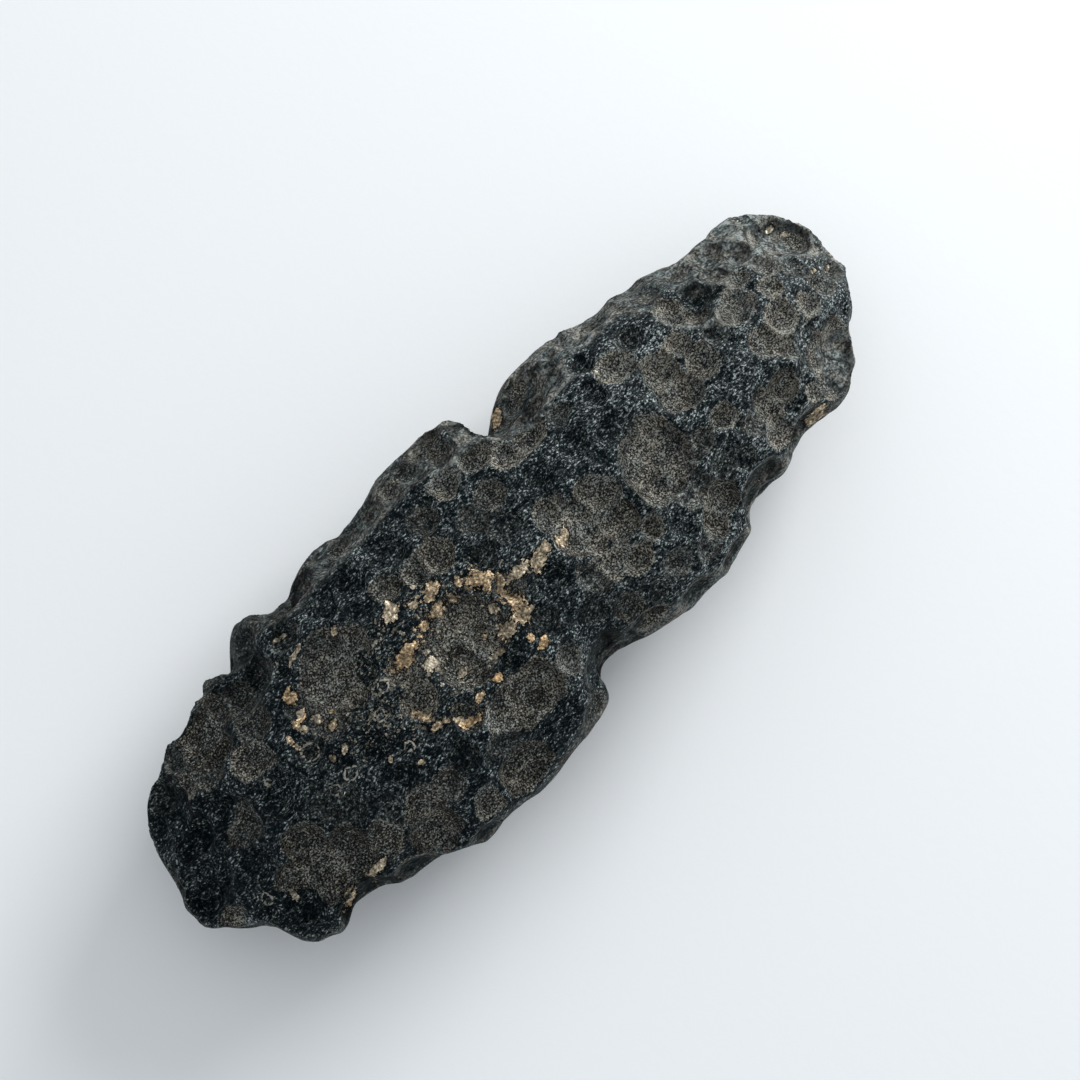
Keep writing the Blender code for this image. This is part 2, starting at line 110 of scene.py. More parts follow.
# Broad hollows on the side that faces up, as (x, y, mouth radius, depth).
HOLLOWS = [
    # left-hand end
    (-36.3, 0.0, 2.8, 0.6), (-34.0, 3.2, 2.4, 0.8), (-31.3, 1.6, 3.2, 0.6),
    (-29.3, -6.2, 4.2, 1.3), (-32.4, -6.9, 2.2, 0.9), (-34.2, 6.6, 2.6, 0.6),
    (-28.4, 7.6, 3.2, 0.7), (-23.8, 8.4, 2.8, 0.7), (-27.8, 0.2, 2.6, 0.5),
    # middle
    (-18.4, 2.6, 3.4, 0.6), (-9.8, -2.8, 4.3, 0.7), (-9.3, -9.4, 3.0, 0.7),
    (-13.5, -12.4, 3.2, 0.7), (-21.5, -10.8, 2.6, 0.7), (-1.8, -11.4, 2.4, 0.35),
    (-16.8, 11.2, 2.4, 0.7), (-10.2, 11.4, 3.2, 0.6), (0.4, 10.4, 2.8, 0.8),
    (4.2, -4.2, 4.0, 0.7), (11.2, -4.0, 3.6, 0.7), (12.2, -10.6, 3.0, 0.8),
    # beside the notch
    (8.3, 8.6, 3.9, 1.3), (15.9, -11.2, 2.0, 0.8),
    # right-hand end
    (17.2, -0.4, 3.0, 0.6), (24.2, 3.2, 3.0, 0.8), (29.4, 4.2, 3.2, 0.5),
    (35.8, 2.8, 3.4, 1.0), (29.9, -8.3, 4.2, 1.3), (22.6, -7.6, 3.0, 0.8),
    (18.2, 9.6, 3.0, 0.5),
]

# The etched bowls on that side, as (x, y, mouth radius, depth, film on the floor, 0 to 1).
BOWLS = [
    # left-hand end, from the tip inward
    (-36.9, -1.0, 1.5, 0.45, 0.12), (-36.2, 0.6, 2.0, 0.5, 0.12), (-34.9, 0.4, 1.6, 0.4, 0.1),
    (-36.0, 5.6, 1.9, 0.45, 0.15), (-33.6, 7.4, 1.5, 0.45, 0.3), (-34.2, 5.2, 1.6, 0.4, 0.15),
    (-32.1, 6.3, 1.4, 0.45, 0.5), (-34.2, 3.2, 1.7, 0.6, 0), (-31.0, 0.8, 1.9, 0.5, 0.4),
    (-31.5, 2.9, 1.6, 0.4, 0.25), (-34.2, -5.4, 1.6, 0.45, 0.2), (-32.4, -7.1, 1.5, 0.6, 0.05),
    (-33.0, -9.0, 1.5, 0.4, 0.2), (-32.6, -2.3, 2.0, 0.45, 0.05), (-31.1, -5.2, 1.9, 0.55, 0.7),
    (-28.9, -3.6, 1.6, 0.55, 0.85), (-29.2, -6.4, 2.3, 0.55, 0.8), (-27.0, -7.0, 2.0, 0.55, 0.85),
    (-24.8, -8.2, 1.7, 0.5, 0.6), (-31.0, 8.9, 1.5, 0.45, 0.35), (-28.5, 8.0, 2.2, 0.5, 0.55),
    (-28.3, 5.9, 1.5, 0.45, 0.5), (-26.0, 8.8, 1.6, 0.45, 0.4), (-25.4, 11.2, 1.6, 0.45, 0.6),
    (-27.2, 3.3, 1.9, 0.5, 0.55), (-28.0, 0.3, 1.9, 0.5, 0), (-25.2, 5.2, 1.7, 0.45, 0.4),
    # left of the middle
    (-24.3, 7.4, 1.9, 0.5, 0.4), (-22.1, 7.8, 1.5, 0.45, 0.3), (-23.8, 0.5, 1.2, 0.4, 0.3),
    (-25.1, -4.0, 2.2, 0.5, 0.3), (-22.9, -6.9, 1.5, 0.45, 0.3), (-20.4, -6.4, 1.3, 0.4, 0.2),
    (-20.5, -3.2, 1.4, 0.4, 0.2), (-18.4, 2.7, 2.6, 0.55, 0.85), (-22.1, 3.4, 1.2, 0.35, 0.35),
    (-21.2, 10.6, 1.6, 0.5, 0.3), (-18.6, 8.3, 1.6, 0.4, 0.3), (-17.2, 5.3, 1.5, 0.4, 0.4),
    (-21.6, -10.4, 1.8, 0.5, 0.5), (-18.6, -9.3, 1.6, 0.45, 0.4), (-16.5, -8.8, 1.4, 0.4, 0.3),
    (-13.7, 4.9, 0.9, 0.4, 0), (-14.8, 7.6, 1.5, 0.4, 0.25), (-12.6, 7.0, 2.0, 0.45, 0.2),
    (-15.6, -3.6, 1.6, 0.4, 0.55), (-13.9, -6.9, 1.4, 0.4, 0.4), (-16.4, 1.4, 1.3, 0.35, 0.2),
    (-17.0, 10.2, 1.5, 0.5, 0.5), (-14.4, 10.6, 1.4, 0.4, 0.35), (-12.2, 10.2, 1.3, 0.4, 0.4),
    (-9.8, 10.3, 1.7, 0.55, 0.5), (-6.9, 10.6, 1.5, 0.5, 0.4), (-13.4, -12.3, 2.1, 0.5, 0.7),
    (-17.4, -12.4, 1.6, 0.4, 0.5), (-9.8, -2.8, 3.0, 0.5, 0.9), (-11.4, -4.4, 1.6, 0.35, 0.8),
    # middle
    (-11.0, 4.6, 1.3, 0.35, 0.45), (-8.4, 3.8, 1.3, 0.4, 0.5), (-6.2, 3.6, 1.7, 0.45, 0.55),
    (-8.8, 6.9, 1.7, 0.4, 0.25), (-4.9, 6.4, 1.5, 0.4, 0.35), (-1.3, 7.1, 1.5, 0.5, 0.6),
    (-4.2, 10.4, 1.7, 0.5, 0.4), (-1.9, 10.0, 1.6, 0.5, 0.35), (0.7, 9.4, 1.5, 0.5, 0.65),
    (0.4, 11.4, 1.7, 0.4, 0.45), (1.8, 6.8, 1.5, 0.45, 0.6),
    (3.6, 5.0, 1.6, 0.5, 0.75), (6.4, 4.8, 1.5, 0.4, 0.6), (8.9, 4.4, 1.3, 0.35, 0.35),
    (0.2, 3.8, 1.4, 0.4, 0.45), (-2.2, 3.2, 1.4, 0.35, 0.35), (-1.0, 1.0, 1.6, 0.35, 0.3),
    (-3.9, 0.6, 1.4, 0.35, 0.3), (3.4, 1.4, 1.6, 0.35, 0.1), (-9.2, -9.3, 2.3, 0.55, 0.9),
    (-11.9, -8.8, 1.7, 0.45, 0.75), (-5.4, -9.8, 1.5, 0.4, 0.4), (-4.9, -6.2, 1.6, 0.4, 0.3),
    (-1.9, -4.6, 1.6, 0.35, 0.1), (-0.8, -8.6, 1.6, 0.4, 0.3), (1.1, -10.3, 1.4, 0.45, 0.4),
    (2.8, -3.4, 2.2, 0.45, 0.8), (5.9, -2.7, 1.8, 0.45, 0.8), (2.4, -6.9, 1.8, 0.45, 0.6),
    (4.3, -8.3, 1.4, 0.4, 0.5), (0.8, -6.6, 1.4, 0.35, 0.35), (5.4, -5.2, 1.6, 0.4, 0.55),
    (6.8, -7.4, 1.2, 0.45, 0.45), (3.6, -10.9, 1.5, 0.4, 0.3), (6.2, -10.6, 1.5, 0.4, 0.35),
    (7.6, 1.6, 1.6, 0.35, 0.1), (11.0, 0.4, 1.5, 0.35, 0.25), (11.6, 3.6, 1.6, 0.35, 0.1),
    # beside the notch
    (8.6, 6.9, 1.3, 0.4, 0.6), (8.3, 8.8, 1.3, 0.4, 0.5), (10.0, 9.6, 1.4, 0.4, 0.5),
    (12.2, 8.8, 1.3, 0.5, 0.1), (11.2, 7.0, 1.3, 0.35, 0.3), (6.2, 8.4, 1.5, 0.35, 0.6),
    # right of the middle
    (11.2, -3.9, 2.7, 0.55, 0.75), (13.3, -1.8, 1.3, 0.4, 0.6), (9.4, -5.8, 1.4, 0.35, 0.6),
    (9.0, -8.8, 1.4, 0.45, 0.1), (11.4, -10.2, 1.6, 0.5, 0.6), (12.9, -9.4, 1.6, 0.5, 0.6),
    (9.2, -11.8, 1.3, 0.4, 0.35), (15.2, 3.8, 1.9, 0.5, 0.65), (13.6, 6.4, 1.4, 0.35, 0.2),
    (17.3, 0.9, 1.6, 0.45, 0.7), (17.2, -1.7, 1.7, 0.5, 0.75), (20.3, -1.2, 1.6, 0.45, 0.65),
    (20.3, 1.5, 1.3, 0.4, 0.5), (15.0, -5.6, 1.3, 0.35, 0.35), (18.0, -5.5, 1.3, 0.4, 0.5),
    (14.9, -8.1, 1.4, 0.4, 0.3), (17.0, -8.8, 1.2, 0.4, 0.3), (19.2, -7.6, 1.2, 0.4, 0.35),
    (21.8, -7.3, 1.5, 0.5, 0.65), (23.8, -7.0, 1.4, 0.5, 0.6), (20.8, -9.5, 1.5, 0.45, 0.5),
    (18.0, 4.9, 1.4, 0.35, 0.3), (15.6, 8.9, 1.3, 0.4, 0.35), (18.0, 8.6, 1.4, 0.4, 0.4),
    # right-hand end
    (22.7, 4.1, 1.5, 0.5, 0.6), (23.5, 1.9, 1.4, 0.5, 0.65), (25.4, 3.4, 1.3, 0.4, 0.15),
    (22.8, 7.0, 1.4, 0.4, 0.3), (25.3, -3.8, 1.6, 0.5, 0.65), (28.3, -3.1, 1.8, 0.5, 0.75),
    (31.3, -3.9, 1.4, 0.4, 0.55), (33.8, -3.2, 1.6, 0.4, 0.4), (36.3, -2.6, 1.4, 0.4, 0.35),
    (27.9, 3.8, 1.3, 0.4, 0.6), (28.6, 2.0, 1.3, 0.4, 0.6), (26.4, 6.4, 1.4, 0.4, 0.5),
    (29.4, 5.6, 1.6, 0.4, 0.5), (31.2, 3.7, 1.2, 0.35, 0.4), (32.7, 6.5, 1.5, 0.35, 0.45),
    (34.6, 3.4, 2.0, 0.5, 0.6), (36.3, 2.2, 2.0, 0.5, 0.55), (29.5, -8.0, 2.6, 0.5, 0.6),
    (31.6, -6.9, 1.8, 0.4, 0.5), (27.9, -9.3, 1.5, 0.4, 0.5), (25.8, -9.3, 1.2, 0.35, 0.5),
    (26.4, -5.6, 1.2, 0.35, 0.4), (31.2, 0.8, 1.3, 0.3, 0.5),
]

# More bowls, scattered where those leave room: over the flanks and the underside.
SCATTER_SEED = 11
SCATTER_TRIES = 2600
SCATTER_RADII = (1.3, 2.6)
SCATTER_DEPTH = 0.26  # as a share of the mouth radius
SCATTER_CROWDING = 0.78  # how near two bowls may come, as a share of their radii together
WORN_UNDERSIDE = 0.25  # no bowls below this height, where the stone rests

# A bowl is sunk from the surface as it stands, so they are cut in these size groups.
SIZE_GROUPS = [(2.4, 9.0), (1.6, 2.4), (0.0, 1.6)]

# Small pits between and inside the bowls, too fine for the solid.
PIT_SEED = 23
PIT_TRIES = 1500
PIT_RADII = (0.45, 1.05)
PIT_DEPTH = 0.24
PIT_CROWDING = 1.15

# Clay left in the hollows, as (x, y, length, width, turn in degrees, warmth, 0 to 1).
CLAY = [
    (-13.6, -0.3, 2.0, 1.0, 5, 0.8), (-11.0, 0.3, 1.0, 0.7, 0, 0.7),
    (-9.5, 0.5, 1.5, 0.7, 10, 0.6), (-7.9, 0.2, 0.7, 0.6, 0, 0.5),
    (-8.6, 1.8, 1.5, 0.9, 20, 0.6), (-10.4, 2.0, 0.9, 0.7, 0, 0.4),
    (-12.0, 3.0, 1.6, 1.0, 30, 0.3), (-9.4, 3.0, 0.5, 0.4, 0, 0.1),
    (-5.6, -0.3, 1.7, 1.4, 120, 0.7), (-4.5, -1.6, 0.9, 0.6, 30, 0.6),
    (-6.7, 0.7, 0.8, 0.5, 0, 0.6), (-5.0, -2.3, 1.0, 0.6, 90, 0.6),
    (-4.9, -3.7, 1.5, 1.0, 60, 0.7), (-5.2, -4.8, 1.5, 1.0, 10, 0.5),
    (-6.9, -4.6, 1.4, 1.0, 0, 0.4), (-8.7, -5.3, 1.0, 0.6, 0, 0.3),
    (-3.0, -2.2, 2.0, 0.8, -10, 0.3), (-1.5, -2.9, 1.8, 0.9, 25, 0.4),
    (-0.3, -2.5, 0.9, 1.0, 60, 0.4), (1.4, -2.9, 1.3, 0.9, 30, 0.4),
    (-6.2, -6.4, 0.7, 0.5, 0, 0.8), (-5.8, -7.4, 1.0, 0.7, 30, 1.0),
    (-10.2, -6.6, 1.0, 0.7, 20, 1.0), (-12.2, -6.7, 1.0, 0.5, 0, 0.7),
    (-13.8, -7.4, 1.8, 0.6, -15, 0.9), (-16.2, -4.4, 0.6, 1.4, 10, 0.6),
    (-15.8, -5.8, 1.6, 0.6, -20, 0.5), (-14.6, -6.6, 0.9, 0.6, 0, 0.4),
    (-12.8, -2.2, 1.2, 1.0, 0, 0.2), (-11.6, -4.2, 0.9, 0.6, 0, 0.2),
    (-8.3, -3.5, 0.5, 0.4, 0, 0.4), (-6.4, -2.6, 0.8, 0.8, 0, 0.3),
    (-21.8, 4.5, 1.1, 1.0, 60, 0.8), (-22.2, 2.8, 0.9, 0.6, 70, 0.9),
    (-23.1, 2.5, 0.8, 0.5, 60, 0.6), (-24.2, 2.1, 0.8, 0.4, 80, 0.5),
    (-22.9, 1.8, 0.6, 0.4, 0, 0.7), (-20.4, 1.2, 0.6, 0.4, -40, 0.7),
    (-21.2, 0.5, 0.8, 0.6, 20, 0.5), (-21.6, 1.7, 0.9, 0.6, -50, 0.2),
    (-23.0, -1.3, 0.8, 0.5, 70, 0.4), (-22.0, -1.5, 0.5, 0.4, 0, 0.3),
    (-24.2, 1.2, 0.4, 0.3, 0, 0.4), (-19.0, 8.6, 1.0, 0.4, -10, 0.2),
    (-19.4, 6.4, 1.5, 0.4, 10, 0.2), (-18.6, 6.6, 0.8, 0.4, 60, 0.2),
    (-20.5, 7.2, 0.4, 0.4, 0, 0.1), (-15.8, 5.4, 0.8, 0.5, 30, 0.4),
    (-15.6, 6.2, 0.3, 0.2, 0, 0.0), (-18.8, -6.7, 0.6, 0.4, 0, 0.4),
    (-20.2, -4.7, 0.5, 0.4, 60, 0.3), (-32.3, -5.3, 0.4, 1.0, 0, 0.1),
    (-29.6, -8.6, 1.6, 0.5, 20, 0.5), (-26.6, -9.0, 1.8, 0.6, -15, 0.3),
    (-30.1, 6.6, 0.3, 0.6, 0, 0.2), (2.4, 4.9, 0.8, 0.3, 20, 0.0),
    (4.8, 3.8, 0.7, 0.25, -20, 0.0), (13.9, 4.6, 0.3, 0.5, 0, 0.0),
    (6.9, 9.4, 1.8, 0.8, 45, 0.6), (25.2, -10.1, 2.0, 0.5, -15, 0.4),
    (36.7, 4.3, 0.9, 0.5, 10, 0.1), (37.3, 3.0, 0.8, 0.4, -35, 0.1),
    (36.4, -2.2, 1.0, 0.3, 10, 0.1), (34.4, -1.9, 0.9, 0.4, 0, 0.2),
]

# Tiny round pits with a pale raised lip, as (x, y, radius).
LIPPED_PITS = [
    (-12.6, -2.1, 0.32), (-16.5, -0.6, 0.45), (-18.3, -1.9, 0.5), (-22.9, -3.1, 0.55),
    (-14.6, 1.9, 0.28), (-22.9, 1.8, 0.25), (-22.2, 3.0, 0.28), (-23.8, 0.4, 0.7),
    (-18.6, -5.2, 0.4), (-27.6, 1.4, 0.3), (-33.9, -4.2, 0.35), (-24.6, -3.0, 0.35),
]

VOXEL = 0.258  # the spacing of the body's even mesh, before it is carved
SOLID_CENTRE = (0.128, -0.242)  # where the solid's origin is, in these values' frame

# The camera, in the values' own frame.
VIEW_FROM = (-32.14, -30.69, 148.52)
VIEW_TO = (2.025, 0.080, 7.0)
LENS = 60.0
SENSOR_WIDTH = 36.0
SEEN_RANGE = (0.01, 10.0)  # the nearest and the farthest that it sees, in metres

# How bowls are pressed in.
TOP_FACING = 0.05  # how far up a point faces, at least, for a bowl to be placed on it
BOWL_SEARCH = 1.35  # how far round a bowl its floor is tried, as a share of its radius
BOWL_SHAPE = 2.6  # 2 gives a bowl a round floor, and more a flatter floor and steeper walls
BOWL_DEPTH = 1.15  # the placed bowls' depth, as a share of the depth in their list
BOWL_FACING = 0.1  # a bowl is pressed only into what faces its way
BOWL_REACH = 1.8  # what stands higher than this many depths over a bowl is pressed in less
BOWL_EASE = 0.25  # the last of its search and of its facing, over which a bowl fades out
RIM_RAGGED = 0.34  # how far a bowl's rim wanders, in mm
RIM_RAGGED_LENGTH = 1.5
HOLLOW_FILM = 0.12  # the film on the broad hollows
SCATTER_FILM = (0.1, 0.5)  # the least and the most film in a scattered bowl
NO_RIM = 9.0  # the distance given where no rim is near, in mm

# Crinkles: their size in mm, their fractal (H, lacunarity, octaves, offset and gain), and
# the share of them that a full film takes away.
CRINKLE_LENGTH = 1.1
CRINKLE_HEIGHT = 0.08
CRINKLE_FRACTAL = (1.0, 2.2, 2, 1.0, 1.5)
CRINKLE_CALM = 0.8

# Points farther than this gap from the middle of their neighbours, in mm, are drawn towards
# it, round after round.
DRAW_IN_GAP = 0.11
DRAW_IN_ROUNDS = 90

# Sharpening. Relief is what lies between two smoothings, given as their rounds.
SHARPEN_ROUNDS = (2, 24)
SHARPNESS = 1.2  # how many times that relief is added again
MOST_RAISED = 0.08  # the most that a rim is raised, in mm
SHARPEN_FACING = (0.45, 0.85)  # how far up the points face, from no sharpening to full
CALM_ROUNDS = 3  # the smoothing of what isn't sharpened

# The finer relief that the colours follow, and how far proud or low counts in full, in mm.
RELIEF_ROUNDS = (1, 6)
RELIEF_REACH = 0.05

# Smooth satin glass with painted sheen: on steep flanks, most on the back, and on the sides.
SLOPE_ROUNDS = 30  # the smoothing after which the way that the surface faces is read
STEEP = (0.88, 0.62)  # how far up the top and the flanks face, between which they merge
SIDE = (0.5, 0.2)  # how far up the sides face, from where they begin to where they are steep
SIDE_COVER = 0.8  # how smooth and satin the steep sides are
# Satin and painted sheen on the flanks, by how far they face back and by the place along the
# stone.
SATIN_SHEEN_BY_FACING = ((-0.5, 0.0, 0.5), (0.35, 0.6, 1.0))
SATIN_SHEEN_ALONG = ((-38.0, -10.0, 15.0), (0.3, 0.7, 1.0))
# Top patches of the same skin and painted sheen, as (x, y, reach), and how fast one ends at its
# edge.
SATIN_PATCHES = [(33.5, 4.5, 5.5), (28.0, 6.0, 5.0), (22.0, 8.5, 4.5), (31.0, -8.8, 4.0)]
SATIN_EDGE = 1.6

CLAY_SPREAD = 0.95  # a patch's reach from its middle, as a share of its length and width

# Colours: worn glass and its painted glints, bowl floors, flanks, painted shade and dark lines,
# clay and lips.
WORN_DARK = (0.0005, 0.0030, 0.0045, 1)
WORN_DEEP = (0.001, 0.0045, 0.0065, 1)
# pale marks painted on the worn glass as its glints
WORN_PAINTED_GLINT = (0.38, 0.43, 0.425, 1)
FLOOR_DARK = (0.0008, 0.0024, 0.0028, 1)
FLOOR_GREY = (0.315, 0.325, 0.30, 1)
FLOOR_BROWN = (0.35, 0.325, 0.275, 1)
FLANK_PALE = (0.22, 0.25, 0.245, 1)
FLANK_BROWN = (0.26, 0.25, 0.22, 1)
# near black: painted shade in the creases, and the dark lines along folds and round clay
SHADE_AND_DARK_LINES = (0.002, 0.003, 0.004, 1)
CLAY_WARM = (0.34, 0.235, 0.13, 1)
CLAY_PALE = (0.27, 0.25, 0.20, 1)
LIP_COLOUR = (0.42, 0.40, 0.34, 1)

# Noises, as (size of a lump in mm, detail, roughness, distortion).
FILM_FRAYS = (0.3, 3.0, 0.6, 0.0)
SATIN_SHEEN_FRAYS = (1.2, 3.0, 0.5, 0.0)
CLOUDS = (5.0, 1.0, 0.5, 0.0)
BLOTCHES = (0.9, 3.0, 0.65, 0.0)
FOLDS = (1.3, 2.0, 0.55, 0.4)
GLINT_STROKES = (0.14, 1.0, 0.6, 0.5)
CROWDS = (0.9, 2.0, 0.6, 0.8)
GAPS = (0.30, 2.0, 0.6, 0.0)
FLOOR_SPECKS = (0.14, 1.0, 0.6, 0.0)
PORES = (0.25, 2.0, 0.6, 0.0)
TINTS = (1.5, 3.0, 0.5, 0.0)
STREAKS = (0.36, 3.0, 0.65, 0.6)
FLANK_SPECKS = (0.2, 1.0, 0.6, 0.0)
RING_BENDS = (1.0, 2.0, 0.5, 0.0)
CLAY_CRUMBLE = (0.30, 3.0, 0.65, 0.0)
CLAY_BAYS = (0.8, 2.0, 0.5, 0.0)
CLAY_GRAINS = (0.22, 2.0, 0.6, 0.0)
CLAY_SHADES = (0.8, 1.0, 0.5, 0.0)
CRUMBS = (0.42, 2.0, 0.6, 0.0)
LIP_BENDS = (0.5, 2.0, 0.5, 0.0)
LIP_GAPS = (0.25, 2.0, 0.5, 0.0)
SURFACE_GRAINS = (0.25, 3.0, 0.7, 0.0)
PAPER_GRAINS = (0.8, 2.0, 0.5, 0.0)
# How their place is multiplied by axis: under 1 draws a pattern out along it.
FOLD_STRETCH = (0.55, 1.0, 1.0)
GLINT_STROKE_STRETCH = (0.6, 1.0, 1.0)
STREAK_STRETCH = (0.35, 1.0, 1.0)
RIDGE_STEEPNESS = 10.0  # how fast a ridge falls off beside its line

# Tones are powers of this number. First the middle tone of each kind of surface.
EULER = 2.718
WORN_TONE = -2.75
FLOOR_TONE = -1.0
FLANK_TONE = -0.95
CLAY_TONE = -0.15
# The left end is darker than the right: from x to x, in mm, by these powers.
TONE_ALONG_STONE = (-34.0, 30.0, -0.7, 0.08)
# How far apart the noises' least and most tones are.
CLOUD_TONES = 1.4
BLOTCH_TONES = 3.0
GLINT_STROKE_TONES = 13.0
FLOOR_TONES = 11.0
STREAK_TONES = 5.0
FLANK_TONES = 5.0
CLAY_GRAIN_TONES = 6.0
CLAY_SHADE_TONES = 3.0
# What the shape adds to them: painted shade and highlights by relief, and faint rings.
# Painted shade, darkening the worn glass in its dips:
WORN_DIP_SHADE = -0.45  # in the dips of the worn glass
# Painted glints crowd onto these lines and thin out beside them:
CROWD_TONE = (-0.5, 1.0, -0.9, 1.1)  # from beside a crowd's line to on it, by these powers
# Painted highlight and painted shade on the bowls' floors:
RELIEF_SHADE_AND_HIGHLIGHT = 0.3  # on what stands proud on a bowl's floor, and taken off what is low there
# Painted highlights:
EDGE_HIGHLIGHT_TONE = 0.2  # on the flanks' edges,
EDGE_RELIEF = 0.01  # which stand at least this proud, in mm
RING_TONE = 0.18  # on the rings inside a rim, and taken off between them
RING_CROWDING = 12.0  # how close the rings are, in radians for each mm
RING_BENT = 6.0  # how far they wander, in radians
# Painted shade down the sides:
SIDE_SHADE_TONE = -0.6  # on the level parts of the sides, twice this in their bowls, none on rims
SIDE_SHADE_RELIEF = 0.11  # how proud those rims and how low those bowls are, in mm

# Where one look passes into the next: from and to, and for some the shares there.
FILM_EDGE = (0.25, 0.50)
FILM_FRAYED = 0.35
SATIN_SHEEN_EDGE = (0.35, 0.75)
SATIN_SHEEN_FRAYED = 0.5
TINT_EDGE = (0.35, 0.65)
GAP_EDGE = (0.42, 0.52, 0.25, 1.0)
PORE_EDGE = (0.38, 0.47, 0.3, 1.0)
FOLD_EDGE = (0.75, 0.95)
FOLD_SHARE = 0.35
# Painted shade as a dark line just inside each rim:
CREASE_SHADE_EDGE = (0.05, 0.40, 1.0, 0.0)  # by the distance in from a rim, in mm
CREASE_SHADE_SHARES = (0.6, 0.7)  # in the worn glass, and on the flanks

# Clay: how far its depth, its crumbling and its bays move its edge, and where that is.
CLAY_FILL = 2.2
CLAY_CRUMBLED = 2.6
CLAY_BAYED = 2.0
CLAY_EDGE = (0.90, 0.95)
CLAY_SKIRT = (0.45, 0.75)
CRUMB_EDGE = (0.575, 0.605)
CRUMB_SKIRT = (0.53, 0.57)
CRUMB_SHARE = 0.7
SKIRT_SHARE = 0.85
# The middle of the place that crumbs of clay lie about in, in mm, one over its reach, and
# how they get fewer from the middle to beyond that reach.
CRUMBS_MIDDLE = (-12.5, -1.2, 0.0)
CRUMBS_WITHIN = (0.075, 0.15, 0.0)
CRUMBS_FEWER = (0.5, 1.1, 0.0, 0.2)

# The tiny pits' lips: how they wander and fade with the distance from their line, in mm.
LIP_BENT = 0.5
LIP_EDGE = (0.04, 0.12, 1.0, 0.0)
LIP_GAP_EDGE = (0.4, 0.55)
LIP_SHARE = 0.8

# How rough the surfaces are. The glass's shine is low: its glints are marks in its colour.
WORN_ROUGHNESS = 0.38
FLOOR_ROUGHNESS = 0.6
CLAY_ROUGHNESS = 0.9
SHINE = 0.02
# Bumps: their depths in metres, and their shares in the worn glass and on the flanks.
FOLD_BUMP = 0.00015
BLOTCH_BUMP = 0.00022
GRAIN_BUMP = 0.00010
CLAY_BUMP = 0.00010
FOLD_BUMP_SHARES = (0.0, 0.9)
GRAIN_BUMP_SHARES = (1.0, 0.35)
CLAY_BUMP_SHARE = 0.9

# The pale paper that the stone lies on. Its size and its bump are in metres.
PAPER_HALF_SIZE = 0.6
PAPER_COLOUR = (0.86, 0.88, 0.90, 1)
PAPER_ROUGHNESS = 0.75
PAPER_BUMP = 0.00003
PAPER_BUMP_SHARE = 0.25

WORLD_COLOUR = (0.93, 0.97, 1.0, 1)
WORLD_STRENGTH = 0.65
# Soft lights: name, metres to the camera's right, ahead and up, size, watts, colour.
LIGHTS = [
    ("window", 0.313, 0.399, 0.16, 0.29, 3.9, (1.0, 1.0, 0.99)),
]


def along(table, x):
    """The table's value at x, on straight lines between its points."""
    points = np.array(sorted(table), float)
    return np.interp(x, points[:, 0], points[:, 1])


def smooth_loop(points, count):
    """An evenly spaced closed curve through the points, by Catmull-Rom."""
    corners = np.array(points, float)
    t = np.linspace(0, 1, CURVE_STEPS, endpoint=False)[:, None]
    pieces = []
    for i in range(len(corners)):
        a, b, c, d = (corners[(i + k) % len(corners)] for k in (-1, 0, 1, 2))
        pieces.append(
            0.5 * (2 * b + (c - a) * t + (2 * a - 5 * b + 4 * c - d) * t**2
                   + (3 * b - a - 3 * c + d) * t**3)
        )
    curve = np.concatenate(pieces + [pieces[0][:1]])
    steps = np.linalg.norm(np.diff(curve, axis=0), axis=1)
    travelled = np.concatenate([[0], np.cumsum(steps)])
    wanted = np.linspace(0, travelled[-1], count, endpoint=False)
    return np.stack([np.interp(wanted, travelled, curve[:, k]) for k in (0, 1)], axis=1)


def round_average(values, window, rounds):
    """Each value of a closed row averaged with its neighbours, this many times over."""
    kernel = np.ones(window) / window
    for _ in range(rounds):
        padded = np.concatenate([values[-window:], values, values[:window]])
        values = np.convolve(padded, kernel, "same")[window:-window]
    return values


def level_loops():
    """The body as level loops of points, from the underside's middle up to the crest."""
    rim = smooth_loop(OUTLINE, OUTLINE_POINTS)
    crest_x = round_average(rim[:, 0], SPINE_WINDOW, SPINE_ROUNDS) * SPINE_SHARE
    crest = np.stack([crest_x, along(CREST_LINE, crest_x)], axis=1)
    back = np.clip(0.5 + 0.5 * (rim[:, 1] - crest[:, 1]) / CREST_BLEND, 0, 1)
    fullness = (back * along(FULLNESS_BACK, rim[:, 0])
                + (1 - back) * along(FULLNESS_FRONT, rim[:, 0]))
    loops = []
    for angle in np.linspace(-np.pi / 2, np.pi / 2, RINGS):
        power = fullness if angle > 0 else np.full(len(rim), FULLNESS_UNDER)
        reach = np.maximum(np.cos(angle), 0) ** (2 / power)
        reach = np.maximum(reach, INNERMOST)[:, None]
        plan = crest + (rim - crest) * reach
        middle = back * along(RIM_BACK, plan[:, 0]) + (1 - back) * along(RIM_FRONT, plan[:, 0])
        far = along(CREST if angle > 0 else BASE, plan[:, 0])
        loops.append(np.column_stack([plan, middle + (far - middle) * abs(np.sin(angle))]))
    return loops


def body_mesh(loops):
    """The closed rough body through these loops."""
    mesh = bmesh.new()
    rows = [[mesh.verts.new(point) for point in loop] for loop in loops]
    for lower, upper in zip(rows, rows[1:]):
        for i in range(len(lower)):
            j = (i + 1) % len(lower)
            mesh.faces.new((lower[i], lower[j], upper[j], upper[i]))
    mesh.faces.new(reversed(rows[0]))
    mesh.faces.new(rows[-1])
    bmesh.ops.triangulate(mesh, faces=[f for f in mesh.faces if len(f.verts) > 4])
    data = bpy.data.meshes.new("stone")
    mesh.to_mesh(data)
    mesh.free()
    return data


